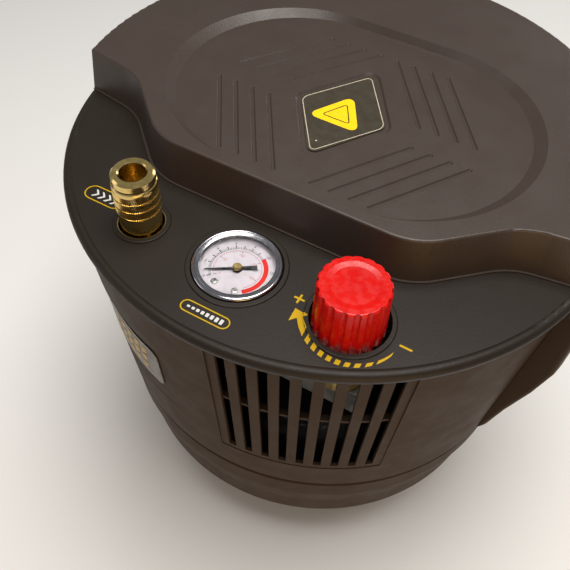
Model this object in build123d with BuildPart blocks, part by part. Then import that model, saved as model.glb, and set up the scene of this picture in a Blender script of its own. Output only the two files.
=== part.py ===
from build123d import *
import os
from math import cos, radians, sin, sqrt, tan

# A compact oil-free air compressor: a round moulded casing over a small steel tank.
# Row frame: Z up, origin on the floor under the casing's axis, front (the console) at -Y, right at +X.
# Angles round the casing are measured from the front, positive towards +X.

# ---- driving dimensions, millimetres ----
console_z = 335.0  # height of the console's flat face
rim_r = 180.0  # outside of the rolled rim
crease_r = 174.0  # where the flat console meets the rim
wall_top_r = 177.0  # casing wall just under the rim
wall_top_z = console_z - 8.0
wall_taper = 0.077  # radius lost for each millimetre down
wall_t = 3.0
shroud_foot_z = console_z - 178.0
skirt_foot_z = console_z - 250.0

lid_h = 30.0  # the lid stands this high over the console
lid_slope = 0.135  # how far the lid's wall leans in for each millimetre up
lid_t = 3.0
lid_lip = 1.1  # a thin lip runs round the foot of the lid's wall
dish_depth = 4.5
dish_y = 8.5
dish_half = 38.0  # half the distance between the dish's two end centres
dish_r = 87.0

gauge_xy = (-2.5, -125.0)
coupler_xy = (-69.0, -125.4)
knob_xy = (68.4, -125.4)
knob_hole_xy = (69.1, -125.3)  # the hole leaves a little more room on the knob's right
gauge_hole_r = 26.8
coupler_hole_r = 14.5
knob_hole_r = 22.7

slot_count = 9
slot_pitch = 4.05  # degrees
slot_first = 5.4  # angle of the first slot
slot_w = 6.0
slot_top_z = console_z - 9.0
slot_foot_z = console_z - 138.0
rib_z = console_z - 67.0

grip_half_angle = 16.5  # each side grip spans this much either side of the X axis
pocket_y = 42.0
pocket_z = (242.0, 280.0, 296.0)  # floor, lip, and roof behind the lip

tank_r = 138.0
tank_z = (24.0, 164.0)
tank_fall = 12.0  # how far each end slopes from its centre to its rim
tank_t = 2.0
foot_xy = 78.0

pump_y = 25.0  # motor shaft line, parallel to X
pump_z = 238.0
deck_z = 180.0
deck_t = 2.5
cylinder_x = 51.0
bore_r = 24.0
stroke = 20.0
crank_r = stroke / 2

manifold_z = (263.0, 283.0)
check_xy = (51.0, -62.0)
outlet_xy = (-30.0, -92.0)
tube_r = 4.0
gap = 0.3  # between pieces that move past each other


def wall_r(z):
    return wall_top_r + (z - wall_top_z) * wall_taper


def around(phi, r, z=0.0):
    return (r * sin(radians(phi)), -r * cos(radians(phi)), z)


def meridian(phi):
    """Plane through the casing's axis: its x runs outwards at phi, its y is up."""
    return Plane(
        origin=(0, 0, 0),
        x_dir=around(phi, 1),
        z_dir=(-cos(radians(phi)), -sin(radians(phi)), 0),
    )


def facing(phi, r, z):
    """Plane on the casing that faces outwards at phi, with its y axis up."""
    return Plane(
        origin=around(phi, r, z),
        x_dir=(cos(radians(phi)), sin(radians(phi)), 0),
        z_dir=around(phi, 1),
    )


def tank_top(x, y):
    return tank_z[1] - tank_fall * sqrt(x * x + y * y) / tank_r


# ======== casing ========
grip_window = (2 * pocket_y + 8.6, pocket_z[2] - pocket_z[0] + 8.6)
grip_mid_z = (pocket_z[0] + pocket_z[2]) / 2
switch_phi = 192.0
gland_phi = 166.0
rear_z = 225.0
pad_r = wall_r(rear_z) + 2.0

# the flank panel is a shallow sunk field for the badge, deepest along its top edge
panel_phi = (-66.0, -9.1)
panel_z = (console_z - 126.0, console_z - 55.0)
panel_depth = 2.0

with BuildPart() as panel_tool:
    with BuildSketch(meridian(panel_phi[0])):
        with BuildLine():
            Polyline(
                (wall_r(panel_z[1]) - panel_depth, panel_z[1]),
                (rim_r + 5, panel_z[1]),
                (rim_r + 5, panel_z[0]),
                (wall_r(panel_z[0]) - 0.1, panel_z[0]),
                close=True,
            )
        make_face()
    revolve(axis=Axis.Z, revolution_arc=panel_phi[1] - panel_phi[0])
    fillet(panel_tool.edges().filter_by(GeomType.LINE).group_by(Axis.Z)[-1], radius=9)

with BuildPart() as upper_shroud:
    with BuildSketch(Plane.XZ):
        with BuildLine():
            Polyline(
                (wall_r(wall_top_z), wall_top_z),
                (wall_r(shroud_foot_z + 3), shroud_foot_z + 3),
                (wall_r(shroud_foot_z) - 1.2, shroud_foot_z),
                (wall_r(shroud_foot_z) - wall_t, shroud_foot_z),
                (wall_r(wall_top_z) - wall_t, wall_top_z),
                close=True,
            )
        make_face()
    revolve(axis=Axis.Z)
    # flat pads for the switch and the cord gland at the back
    with BuildSketch(facing(switch_phi, pad_r, rear_z)):
        RectangleRounded(36, 44, 4)
    extrude(amount=-7)
    with BuildSketch(facing(gland_phi, pad_r, rear_z)):
        Circle(15)
    extrude(amount=-7)
    add(panel_tool.part, mode=Mode.SUBTRACT)
    # shallow field that the grille sits in
    with BuildSketch(meridian(slot_first - 3.0)):
        with BuildLine():
            Polyline(
                (wall_r(slot_top_z) - 0.9, slot_top_z + 2),
                (rim_r + 5, slot_top_z + 2),
                (rim_r + 5, slot_foot_z - 5),
                (wall_r(slot_foot_z) - 0.9, slot_foot_z - 5),
                close=True,
            )
        make_face()
    revolve(axis=Axis.Z, revolution_arc=slot_pitch * (slot_count - 1) + 6.0, mode=Mode.SUBTRACT)
    slot_mid_z = (slot_top_z + slot_foot_z) / 2
    slot_half_h = (slot_top_z - slot_foot_z) / 2
    slot_phis = [slot_first + slot_pitch * i for i in range(slot_count)]
    slots = [facing(phi, wall_r(slot_mid_z), slot_mid_z) for phi in slot_phis]
    with BuildSketch(*slots):
        with BuildLine():
            Polyline(
                (-slot_w / 2, slot_half_h),
                (slot_w / 2, slot_half_h),
                (slot_w / 2 - 0.4, -slot_half_h),
                (-slot_w / 2 + 0.4, -slot_half_h),
                close=True,
            )
        make_face()
    extrude(amount=14, both=True, mode=Mode.SUBTRACT)
    # one horizontal rib ties the bars together from behind
    with BuildSketch(meridian(slot_first - 4.0)):
        with Locations((wall_r(rib_z) - wall_t - 1.5, rib_z)):
            Rectangle(4.0, 2.2)
    revolve(axis=Axis.Z, revolution_arc=slot_pitch * (slot_count - 1) + 8.0)
    # windows for the side grips, the switch and the cord gland
    with Locations((168, 0, grip_mid_z), (-168, 0, grip_mid_z)):
        Box(40, *grip_window, mode=Mode.SUBTRACT)
    with BuildSketch(facing(switch_phi, pad_r, rear_z)):
        Rectangle(25, 33)
    extrude(amount=-30, mode=Mode.SUBTRACT)
    with BuildSketch(facing(gland_phi, pad_r, rear_z)):
        Circle(8.3)
    extrude(amount=-30, mode=Mode.SUBTRACT)

screw_phis = (110, 160, 200, 250)
screw_z = shroud_foot_z + 5.0
with BuildPart() as lower_skirt:
    with BuildSketch(Plane.XZ) as skirt_section:
        with BuildLine():
            Polyline(
                (160.4, 166.0),
                (160.4, 156.2),
                (163.2, 154.2),
                (162.4, 135.0),
                (158.2, 113.0),
                (155.2, skirt_foot_z),
                (149.0, skirt_foot_z),
                (149.0, skirt_foot_z + wall_t),
                (152.4, skirt_foot_z + wall_t),
                (155.2, 113.0),
                (159.2, 135.0),
                (157.4, 152.0),
                (157.4, 166.0),
                close=True,
            )
        make_face()
        skirt_corners = skirt_section.vertices().filter_by(lambda v: v.X > 158 and 112 < v.Y < 155)
        fillet(skirt_corners, radius=1.8)
        fillet(skirt_section.vertices().group_by(Axis.Y)[0].sort_by(Axis.X)[-1], radius=2.4)
    revolve(axis=Axis.Z)
    # short ribs that sit on the tank's side
    with BuildSketch(Plane.XY.offset(skirt_foot_z)):
        with PolarLocations(tank_r + 8.8, 6, start_angle=30):
            Rectangle(14.4, 4)
    extrude(amount=20)

with BuildPart() as casing_screws:
    with BuildSketch(*[facing(phi, wall_r(screw_z + 4), screw_z) for phi in screw_phis]):
        Circle(4.0)
    extrude(amount=2.0)
    fillet(casing_screws.edges().filter_by(GeomType.CIRCLE), radius=0.7)

# screws reach through the wall into the skirt's tongue
with BuildPart() as screw_holes:
    with BuildSketch(*[facing(phi, wall_r(screw_z + 4), screw_z) for phi in screw_phis]):
        Circle(2.0)
    extrude(amount=-8.4)
with upper_shroud:
    add(screw_holes.part, mode=Mode.SUBTRACT)
with lower_skirt:
    add(screw_holes.part, mode=Mode.SUBTRACT)
with BuildPart() as screw_shanks:
    with BuildSketch(*[facing(phi, wall_r(screw_z + 4), screw_z) for phi in screw_phis]):
        Circle(1.95)
    extrude(amount=-7.5)
with casing_screws:
    add(screw_shanks.part)


def lid_plan(z, inset=0.0):
    """Outline of the raised lid: straight front, two slanted shoulders, and ears out past the rim."""
    with BuildSketch(Plane.XY.offset(z)) as plan:
        with BuildLine():
            Polyline(
                (-85.8, -89.0),
                (85.8, -89.0),
                (132.5, -45.7),
                (220.0, -32.6),
                (220.0, 220.0),
                (-220.0, 220.0),
                (-220.0, -32.6),
                (-132.5, -45.7),
                close=True,
            )
        make_face()
        fillet(plan.vertices().filter_by_position(Axis.Y, -90, -40), radius=45)
        if inset:
            offset(amount=-inset, mode=Mode.REPLACE)
    return plan.sketch


with BuildPart() as console_cover:
    with BuildSketch(Plane.XZ):
        with BuildLine():
            rim_in = Line((0, console_z), (crease_r, console_z))
            roll = ThreePointArc(rim_in @ 1, (rim_r - 2.0, console_z + 0.4), (rim_r, console_z - 4.0))
            Polyline(
                roll @ 1,
                (rim_r - 1.4, console_z - 7.6),
                (wall_top_r - wall_t - 0.4, console_z - 7.6),
                (wall_top_r - wall_t - 0.8, console_z - 13.0),
                (wall_top_r - wall_t - 3.0, console_z - 13.0),
                (wall_top_r - wall_t - 3.0, console_z - wall_t),
                (0, console_z - wall_t),
                (0, console_z),
            )
        make_face()
    revolve(axis=Axis.Z)
    # low raised rings round the gauge, the coupler and the knob
    with BuildSketch(Plane.XY.offset(console_z)):
        with Locations(gauge_xy):
            Circle(gauge_hole_r + 3.0)
        with Locations(coupler_xy):
            Circle(coupler_hole_r + 3.0)
        with Locations(knob_hole_xy):
            Circle(knob_hole_r + 2.9)
    extrude(amount=1.0)
    fillet(console_cover.edges().filter_by(GeomType.CIRCLE).group_by(Axis.Z)[-1], radius=0.8)
    # the rim lies flat under the lid
    add(lid_plan(console_z, inset=-lid_lip - 0.5))
    extrude(amount=5, mode=Mode.SUBTRACT)
    # the pump's head reaches up through this opening into the lid
    lid_seat = lid_plan(console_z + 1, inset=11.0)
    with BuildSketch(Plane.XY.offset(console_z + 1)):
        add(lid_seat)
        Circle(163, mode=Mode.INTERSECT)
    extrude(amount=-30, mode=Mode.SUBTRACT)
    with BuildSketch(Plane.XY.offset(console_z + 2)):
        with Locations(gauge_xy):
            Circle(gauge_hole_r)
        with Locations(coupler_xy):
            Circle(coupler_hole_r)
        with Locations(knob_hole_xy):
            Circle(knob_hole_r)
    extrude(amount=-10, mode=Mode.SUBTRACT)

lid_top_z = console_z + lid_h
dish_floor_z = lid_top_z - dish_depth

with BuildPart() as lid_core:
    add(lid_plan(console_z, inset=lid_t))
    add(lid_plan(lid_top_z - lid_t, inset=lid_t + (lid_h - lid_t) * lid_slope))
    loft(ruled=True)
    with BuildSketch(Plane.XY.offset(console_z)):
        Circle(rim_r - 1.0 - lid_t)
    extrude(amount=lid_h - lid_t, taper=4, mode=Mode.INTERSECT)
    with BuildSketch(Plane.XY.offset(dish_floor_z - lid_t)):
        with Locations((0, dish_y)):
            SlotCenterToCenter(2 * dish_half, 2 * dish_r + 4)
    extrude(amount=20, mode=Mode.SUBTRACT)

label_xy = (-1.2, -0.3)
label_half = (30.0, 47.0)  # half widths of the diamond across X and Y


def diamond(grow, z, corner):
    """The label's diamond, grown outwards by grow, with rounded corners."""
    slope = sqrt(1 / label_half[0] ** 2 + 1 / label_half[1] ** 2)
    scale_up = 1 + grow * slope
    with BuildSketch(Plane.XY.offset(z)) as outline:
        with Locations(label_xy):
            Polygon(
                (label_half[0] * scale_up, 0),
                (0, label_half[1] * scale_up),
                (-label_half[0] * scale_up, 0),
                (0, -label_half[1] * scale_up),
            )
        fillet(outline.vertices(), radius=corner)
    return outline.sketch


groove_pitch = 12.55
groove_run = (39.7, 62.2)  # how far a front groove runs across and back
groove_len = sqrt(groove_run[0] ** 2 + groove_run[1] ** 2)
groove_tilt = (57.5, 55.0)  # degrees, front grooves and back grooves
groove_w = 3.2
front_groove = (11.5 + groove_run[0] / 2, -70.4 + groove_run[1] / 2)
back_groove = (26.3, 39.6)
groove_places = [
    Location((side * (mid[0] + groove_pitch * i), mid[1], 0), (0, 0, side * turn))
    for mid, turn in ((front_groove, groove_tilt[0]), (back_groove, -groove_tilt[1]))
    for side in (1, -1)
    for i in range(4)
]


def sloping_slot(place, top_z, depth):
    """A groove whose walls slope at 45 degrees."""
    with BuildPart(mode=Mode.PRIVATE) as slot:
        for z, grow in ((top_z, 0.0), (top_z - depth, depth)):
            with BuildSketch(Plane.XY.offset(z)):
                with Locations(place):
                    SlotOverall(groove_len - 2 * grow, groove_w - 2 * grow)
        loft()
    return slot.part


with BuildPart() as top_lid:
    add(lid_plan(console_z))
    add(lid_plan(lid_top_z, inset=lid_h * lid_slope))
    loft(ruled=True)
    with BuildSketch(Plane.XY.offset(console_z)):
        Circle(rim_r - 1.0)
    extrude(amount=lid_h, taper=4, mode=Mode.INTERSECT)
    fillet(top_lid.faces().sort_by(Axis.Z)[-1].outer_wire().edges(), radius=1.4)
    with BuildSketch(Plane.XY.offset(console_z)):
        add(lid_plan(console_z, inset=-lid_lip))
        Circle(rim_r - 1.0, mode=Mode.INTERSECT)
    extrude(amount=1.0)
    add(lid_core.part, mode=Mode.SUBTRACT)
    with BuildSketch(Plane.XY.offset(lid_top_z)):
        with Locations((0, dish_y)):
            SlotCenterToCenter(2 * dish_half, 2 * dish_r)
    with BuildSketch(Plane.XY.offset(dish_floor_z)):
        with Locations((0, dish_y)):
            SlotCenterToCenter(2 * dish_half - 8, 2 * dish_r - 7)
    loft(ruled=True, mode=Mode.SUBTRACT)
    for place in groove_places:
        add(sloping_slot(place, dish_floor_z, 0.9), mode=Mode.SUBTRACT)
    add(diamond(4.0, dish_floor_z, 8.0))
    add(diamond(2.8, dish_floor_z - 1.2, 6.8))
    loft(ruled=True, mode=Mode.SUBTRACT)

with BuildPart() as lid_label:
    add(diamond(0.0, dish_floor_z - 1.2, 5.0))
    extrude(amount=0.8)

badge_phi = (-34.0, -12.5)
badge_z = (console_z - 106.0, console_z - 64.0)


def panel_r(z):
    low, high = panel_z
    share = (z - low) / (high - low)
    return (1 - share) * (wall_r(low) - 0.1) + share * (wall_r(high) - panel_depth)


with BuildPart() as flank_badge:
    with BuildSketch(meridian(badge_phi[0])):
        with BuildLine():
            Polyline(
                (panel_r(badge_z[1]) + 0.05, badge_z[1]),
                (panel_r(badge_z[1]) + 0.9, badge_z[1]),
                (panel_r(badge_z[0]) + 0.9, badge_z[0]),
                (panel_r(badge_z[0]) + 0.05, badge_z[0]),
                close=True,
            )
        make_face()
    revolve(axis=Axis.Z, revolution_arc=badge_phi[1] - badge_phi[0])
    fillet(flank_badge.edges().filter_by(GeomType.LINE).filter_by(lambda e: e.length < 1.0), radius=7)

# ======== side grips ========
with BuildPart() as side_grip_right:
    with BuildSketch(meridian(90 - grip_half_angle)):
        with BuildLine():
            Polyline(
                (wall_r(321) + 0.1, 321),
                (184.5, 321),
                (189.6, 314),
                (189.6, 268),
                (184.0, 238),
                (175.0, 202),
                (169.0, 172),
                (wall_r(162) + 0.1, 162),
                close=True,
            )
        make_face()
    revolve(axis=Axis.Z, revolution_arc=2 * grip_half_angle)
    outer_edges = side_grip_right.edges().filter_by_position(Axis.X, 176, 190)
    fillet(outer_edges.filter_by(lambda e: e.length > 10), radius=2.5)
    with Locations((162, 0, grip_mid_z)):
        Box(32, 2 * pocket_y + 8, pocket_z[2] - pocket_z[0] + 8)
    # a hand goes in under the lip and curls up behind it
    for reach, roof_z in ((60, pocket_z[1]), (22, pocket_z[2])):
        with Locations((150 + reach / 2, 0, (pocket_z[0] + roof_z) / 2)):
            Box(reach, 2 * pocket_y, roof_z - pocket_z[0], mode=Mode.SUBTRACT)
with BuildPart() as side_grip_left:
    mirror(side_grip_right.part, about=Plane.YZ)

# ======== tank and feet ========


def tank_section(inset):
    """Half section of the tank, touching its axis."""
    low, high = tank_z[0] + inset, tank_z[1] - inset
    with BuildSketch(Plane.XZ) as section:
        Polygon(
            (0, low),
            (tank_r - inset, low + tank_fall),
            (tank_r - inset, high - tank_fall),
            (0, high),
            align=None,
        )
        fillet(section.vertices().group_by(Axis.X)[-1], radius=30 - inset)
    return section.sketch


safety_phi = 160.0
safety_z = 74.0
drain_y = 100.0
bungs = [check_xy, outlet_xy]
bung_top_z = 161.0
bung_r = 6.0

with BuildPart() as tank_outside:
    add(tank_section(0))
    revolve(axis=Axis.Z)

with BuildPart() as air_tank:
    add(tank_section(0))
    revolve(axis=Axis.Z)
    with BuildSketch(Plane.XY.offset(tank_z[1] - 20)):
        with Locations(*bungs):
            Circle(12)
    extrude(amount=bung_top_z - tank_z[1] + 20)
    # the weld round the middle where the two halves meet
    with BuildSketch(meridian(90)):
        with Locations((tank_r, (tank_z[0] + tank_z[1]) / 2)):
            Rectangle(2.4, 7)
    revolve(axis=Axis.Z)
    add(tank_section(tank_t))
    revolve(axis=Axis.Z, mode=Mode.SUBTRACT)
    with BuildSketch(Plane.XY.offset(bung_top_z)):
        with Locations(*bungs):
            Circle(bung_r)
    extrude(amount=-40, mode=Mode.SUBTRACT)
    with BuildSketch(facing(safety_phi, tank_r + 5, safety_z)):
        Circle(5.0)
    extrude(amount=-12, mode=Mode.SUBTRACT)
    with BuildSketch(Plane.XY.offset(tank_z[0] - 2)):
        with Locations((0, drain_y)):
            Circle(5.0)
    extrude(amount=25, mode=Mode.SUBTRACT)

feet = [(sx * foot_xy, sy * foot_xy) for sx in (1, -1) for sy in (1, -1)]
foot_h = 22.0
deck_posts = [(80, -28), (-80, -28), (80, 78), (-80, 78)]
mount_z = 164.0
# pads and posts welded to the tank: four under it for the feet, four on it for the pump deck
with BuildPart() as tank_brackets:
    with BuildSketch(Plane.XY.offset(foot_h)):
        with Locations(*feet):
            Circle(15)
            Circle(4.2, mode=Mode.SUBTRACT)
    extrude(amount=20)
    with BuildSketch(Plane.XY.offset(140)):
        with Locations(*deck_posts):
            Circle(11)
    extrude(amount=mount_z - 140)
    add(tank_outside.part, mode=Mode.SUBTRACT)

with BuildPart() as rubber_feet:
    with BuildSketch():
        with Locations(*feet):
            Circle(16)
    extrude(amount=foot_h, taper=-3)
    fillet(rubber_feet.edges().group_by(Axis.Z)[0], radius=2)
    with BuildSketch():
        with Locations(*feet):
            Circle(7)
    extrude(amount=8, mode=Mode.SUBTRACT)
    with BuildSketch():
        with Locations(*feet):
            Circle(4.2)
    extrude(amount=foot_h, mode=Mode.SUBTRACT)

with BuildPart() as foot_bolts:
    with BuildSketch(Plane.XY.offset(3.5)):
        with Locations(*feet):
            RegularPolygon(6.5, 6)
    extrude(amount=4.5)
    with BuildSketch(Plane.XY.offset(8.0)):
        with Locations(*feet):
            Circle(4.0)
    extrude(amount=20)

# ======== pump deck on rubber mounts ========
with BuildPart() as vibration_mounts:
    with BuildSketch(Plane.XY.offset(mount_z)):
        with Locations(*deck_posts):
            Circle(9.5)
    extrude(amount=deck_z - mount_z)
    waist = [(x, y, (mount_z + deck_z) / 2) for x, y in deck_posts]
    with Locations(*waist):
        Torus(11.0, 3.5, mode=Mode.SUBTRACT)

with BuildPart() as pump_deck:
    with BuildSketch(Plane.XY.offset(deck_z)):
        with Locations((0, 23)):
            RectangleRounded(196, 138, 12)
    extrude(amount=deck_t)
    # turned-down stiffening edges
    with BuildSketch(Plane.XY.offset(deck_z)):
        with Locations((0, -44.5), (0, 90.5)):
            Rectangle(130, 2.5)
    extrude(amount=-9)

deck_top = deck_z + deck_t

# ======== motor and pump ========
stator_x = (-72.0, -12.0)
stator_r = 52.0
shaft_r = 6.0
bearing_r = 13.0
case_x = (5.0, 86.0)
case_y = (-15.0, 65.0)
case_top = 272.0


def across(x):
    """Plane facing +X on the motor's shaft line."""
    return Plane(origin=(x, pump_y, pump_z), x_dir=(0, 1, 0), z_dir=(1, 0, 0))


with BuildPart() as motor_stator:
    with BuildSketch(across(stator_x[0])) as lamination:
        Circle(stator_r)
        with Locations((0, -stator_r + 6)):
            Rectangle(76, 15.4)
        Circle(30, mode=Mode.SUBTRACT)
    extrude(amount=stator_x[1] - stator_x[0])
    # copper end turns stand out of both ends
    with BuildSketch(across(stator_x[0] - 12), across(stator_x[1])):
        Circle(45)
        Circle(33, mode=Mode.SUBTRACT)
    extrude(amount=12)


with BuildPart() as motor_end_cover:
    with BuildSketch(across(stator_x[0] - 20)):
        Circle(stator_r + 2)
    extrude(amount=20)
    fillet(motor_end_cover.edges().group_by(Axis.X)[0], radius=6)
    with BuildSketch(across(stator_x[0])):
        Circle(stator_r - 4)
    extrude(amount=-15, mode=Mode.SUBTRACT)
    with BuildSketch(across(stator_x[0] - 24)):
        Circle(bearing_r)
    extrude(amount=12, mode=Mode.SUBTRACT)
    # cooling windows
    with BuildSketch(across(stator_x[0] - 24)):
        with PolarLocations(31, 6):
            SlotOverall(20, 9, rotation=90)
    extrude(amount=12, mode=Mode.SUBTRACT)

bearing_xs = (stator_x[0] - 20.0, case_x[0] - 2.0)
with BuildPart() as shaft_bearings:
    with BuildSketch(*[across(x) for x in bearing_xs]):
        Circle(bearing_r)
        Circle(shaft_r + 0.06, mode=Mode.SUBTRACT)
    extrude(amount=8)

with BuildPart() as rotor_shaft:
    with BuildSketch(across(-128)):
        Circle(shaft_r)
    extrude(amount=128 + 22)
    with BuildSketch(across(stator_x[0] + 2)):
        Circle(29.5)
    extrude(amount=stator_x[1] - stator_x[0] - 4)

fan_x = (-124.0, -107.0)
fan_r = 56.0
with BuildPart() as cooling_fan:
    with BuildSketch(across(fan_x[0])):
        Circle(15)
    extrude(amount=fan_x[1] - fan_x[0])
    along = cos(radians(32))  # how much of each blade's width lies along the shaft
    aside = sin(radians(32))
    for i in range(9):
        out_y = cos(radians(40 * i))
        out_z = sin(radians(40 * i))
        root = Plane(
            origin=(sum(fan_x) / 2, pump_y + 14 * out_y, pump_z + 14 * out_z),
            x_dir=(along, -out_z * aside, out_y * aside),
            z_dir=(0, out_y, out_z),
        )
        with BuildSketch(root):
            Rectangle(15, 2)
        extrude(amount=fan_r - 14.4)
    with BuildSketch(across(fan_x[0] - 1)):
        Circle(shaft_r + 0.05)
    extrude(amount=20, mode=Mode.SUBTRACT)

with BuildPart() as crankcase:
    with BuildSketch(Plane.XY.offset(deck_top)):
        with Locations(((case_x[0] + case_x[1]) / 2, pump_y)):
            RectangleRounded(case_x[1] - case_x[0], case_y[1] - case_y[0], 8)
    extrude(amount=case_top - deck_top)
    with BuildSketch(across(stator_x[1])):
        Circle(stator_r + 2)
    extrude(amount=case_x[0] + 1 - stator_x[1])
    with Locations(((case_x[0] + case_x[1]) / 2, pump_y, deck_top + 5)):
        Box(
            case_x[1] - case_x[0] - 10,
            case_y[1] - case_y[0] - 10,
            case_top - deck_top - 10,
            align=(Align.CENTER, Align.CENTER, Align.MIN),
            mode=Mode.SUBTRACT,
        )
    with BuildSketch(across(stator_x[1])):
        Circle(stator_r - 5)
    extrude(amount=14, mode=Mode.SUBTRACT)
    with BuildSketch(across(0)):
        Circle(bearing_r)
    extrude(amount=14, mode=Mode.SUBTRACT)
    with BuildSketch(Plane.XY.offset(case_top)):
        with Locations((cylinder_x, pump_y)):
            Circle(bore_r)
    extrude(amount=-8, mode=Mode.SUBTRACT)

pin_x = (32.0, 44.6)
eye_x = (45.0, 57.0)
with BuildPart() as crank:
    with BuildSketch(across(22)):
        Circle(16)
        with BuildLine():
            Polyline((-21, 0), (21, 0), (15, -19), (-15, -19), close=True)
        make_face()
    extrude(amount=10)
    with BuildSketch(across(pin_x[0])):
        with Locations((0, crank_r)):
            Circle(6)
    extrude(amount=pin_x[1] - pin_x[0])

piston_top = 316.0
eye_z = pump_z + crank_r
with BuildPart() as piston_rod:
    with BuildSketch(across(eye_x[0])):
        with Locations((0, crank_r)):
            Circle(13)
    extrude(amount=eye_x[1] - eye_x[0])
    with Locations((cylinder_x, pump_y, eye_z + 10)):
        Box(10, 14, piston_top - 6 - eye_z - 10, align=(Align.CENTER, Align.CENTER, Align.MIN))
    with BuildSketch(Plane.XY.offset(piston_top - 8)):
        with Locations((cylinder_x, pump_y)):
            Circle(bore_r - gap)
    extrude(amount=8)
    with BuildSketch(across(eye_x[0] - 1)):
        with Locations((0, crank_r)):
            Circle(6.3)
    extrude(amount=16, mode=Mode.SUBTRACT)

sleeve_top = 318.0
with BuildPart() as pump_cylinder:
    with BuildSketch(Plane.XY.offset(case_top)):
        with Locations((cylinder_x, pump_y)):
            Circle(28)
    extrude(amount=sleeve_top - case_top)
    fin_planes = [Plane.XY.offset(z) for z in (case_top, 282, 290, 298, 306)]
    with BuildSketch(*fin_planes):
        with Locations((cylinder_x, pump_y)):
            Circle(37)
    extrude(amount=2.4)
    with BuildSketch(Plane.XY.offset(case_top)):
        with Locations((cylinder_x, pump_y)):
            Circle(bore_r)
    extrude(amount=sleeve_top - case_top, mode=Mode.SUBTRACT)

plate_t = 3.0
head_z = sleeve_top + plate_t
head_h = 24.0
head_bolt_offset = 30.0
with BuildPart() as valve_plate:
    with BuildSketch(Plane.XY.offset(sleeve_top)):
        with Locations((cylinder_x, pump_y)):
            RectangleRounded(72, 72, 6)
            with GridLocations(2 * head_bolt_offset, 2 * head_bolt_offset, 2, 2):
                Circle(2.7, mode=Mode.SUBTRACT)
            with Locations((0, 11), (0, -11)):
                Circle(4, mode=Mode.SUBTRACT)
    extrude(amount=plate_t)
    # spring-steel reeds riveted over the two ports, one on each face
    with BuildSketch(Plane.XY.offset(head_z)):
        with Locations((cylinder_x, pump_y - 11)):
            SlotOverall(30, 11)
    extrude(amount=0.4)
    with BuildSketch(Plane.XY.offset(sleeve_top)):
        with Locations((cylinder_x, pump_y + 11)):
            SlotOverall(30, 11)
    extrude(amount=-0.4)

port_z = head_z + 12.0
with BuildPart() as cylinder_head:
    with BuildSketch(Plane.XY.offset(head_z)):
        with Locations((cylinder_x, pump_y)):
            RectangleRounded(70, 70, 6)
    extrude(amount=head_h)
    # fins across the top
    with BuildSketch(Plane.XY.offset(head_z + head_h)):
        with Locations(*[(cylinder_x + 7.0 * i, pump_y) for i in range(-3, 4)]):
            Rectangle(3.6, 46)
    extrude(amount=-9, mode=Mode.SUBTRACT)
    # inlet and outlet chambers, divided by a wall
    with Locations((cylinder_x, pump_y + 14, head_z), (cylinder_x, pump_y - 14, head_z)):
        Box(46, 22, 11, align=(Align.CENTER, Align.CENTER, Align.MIN), mode=Mode.SUBTRACT)
    with BuildSketch(Plane.XY.offset(head_z)):
        with Locations((cylinder_x, pump_y)):
            with GridLocations(2 * head_bolt_offset, 2 * head_bolt_offset, 2, 2):
                Circle(2.7)
    extrude(amount=head_h, mode=Mode.SUBTRACT)

with BuildPart() as head_bolts:
    with BuildSketch(Plane.XY.offset(case_top)):
        with Locations((cylinder_x, pump_y)):
            with GridLocations(2 * head_bolt_offset, 2 * head_bolt_offset, 2, 2):
                Circle(2.5)
    extrude(amount=head_z + head_h - case_top)
    with BuildSketch(Plane.XY.offset(head_z + head_h)):
        with Locations((cylinder_x, pump_y)):
            with GridLocations(2 * head_bolt_offset, 2 * head_bolt_offset, 2, 2):
                RegularPolygon(4.6, 6)
    extrude(amount=3.6)

head_back_y = pump_y + 35
with BuildPart() as intake_filter:
    with BuildSketch(Plane(origin=(cylinder_x, head_back_y, port_z), z_dir=(0, 1, 0))):
        Circle(6)
    extrude(amount=8)
    with BuildSketch(Plane(origin=(cylinder_x, head_back_y + 8, port_z), z_dir=(0, 1, 0))):
        Circle(13)
    extrude(amount=30)
    fillet(intake_filter.edges().filter_by(GeomType.CIRCLE).group_by(Axis.Y)[-1], radius=3)

# ======== air lines ========
head_front_y = pump_y - 35
valve_top_z = 196.0
with BuildPart() as delivery_tube:
    with BuildLine():
        delivery_line = FilletPolyline(
            (cylinder_x, head_front_y, port_z),
            (check_xy[0], check_xy[1], port_z),
            (check_xy[0], check_xy[1], valve_top_z),
            radius=18,
        )
    with BuildSketch(Plane(origin=(cylinder_x, head_front_y, port_z), z_dir=(0, -1, 0))):
        Circle(tube_r)
        Circle(tube_r - 1, mode=Mode.SUBTRACT)
    sweep(path=delivery_line)

with BuildPart() as supply_tube:
    with BuildLine():
        supply_line = FilletPolyline(
            (outlet_xy[0], outlet_xy[1], 175),
            (outlet_xy[0], outlet_xy[1], 215),
            (outlet_xy[0], -125, 236),
            (outlet_xy[0], -125, manifold_z[0]),
            radius=12,
        )
    with BuildSketch(Plane(origin=(outlet_xy[0], outlet_xy[1], 175), z_dir=(0, 0, 1))):
        Circle(tube_r)
        Circle(tube_r - 1, mode=Mode.SUBTRACT)
    sweep(path=supply_line)
    # its nut, screwed into the tank
    with BuildSketch(Plane.XY.offset(bung_top_z - 12)):
        with Locations(outlet_xy):
            Circle(bung_r - 0.05)
    extrude(amount=12)
    with BuildSketch(Plane.XY.offset(bung_top_z)):
        with Locations(outlet_xy):
            RegularPolygon(9, 6)
    extrude(amount=14)
    with BuildSketch(Plane.XY.offset(bung_top_z + 14)):
        with Locations(outlet_xy):
            Circle(3)
    extrude(amount=-40, mode=Mode.SUBTRACT)

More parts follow.
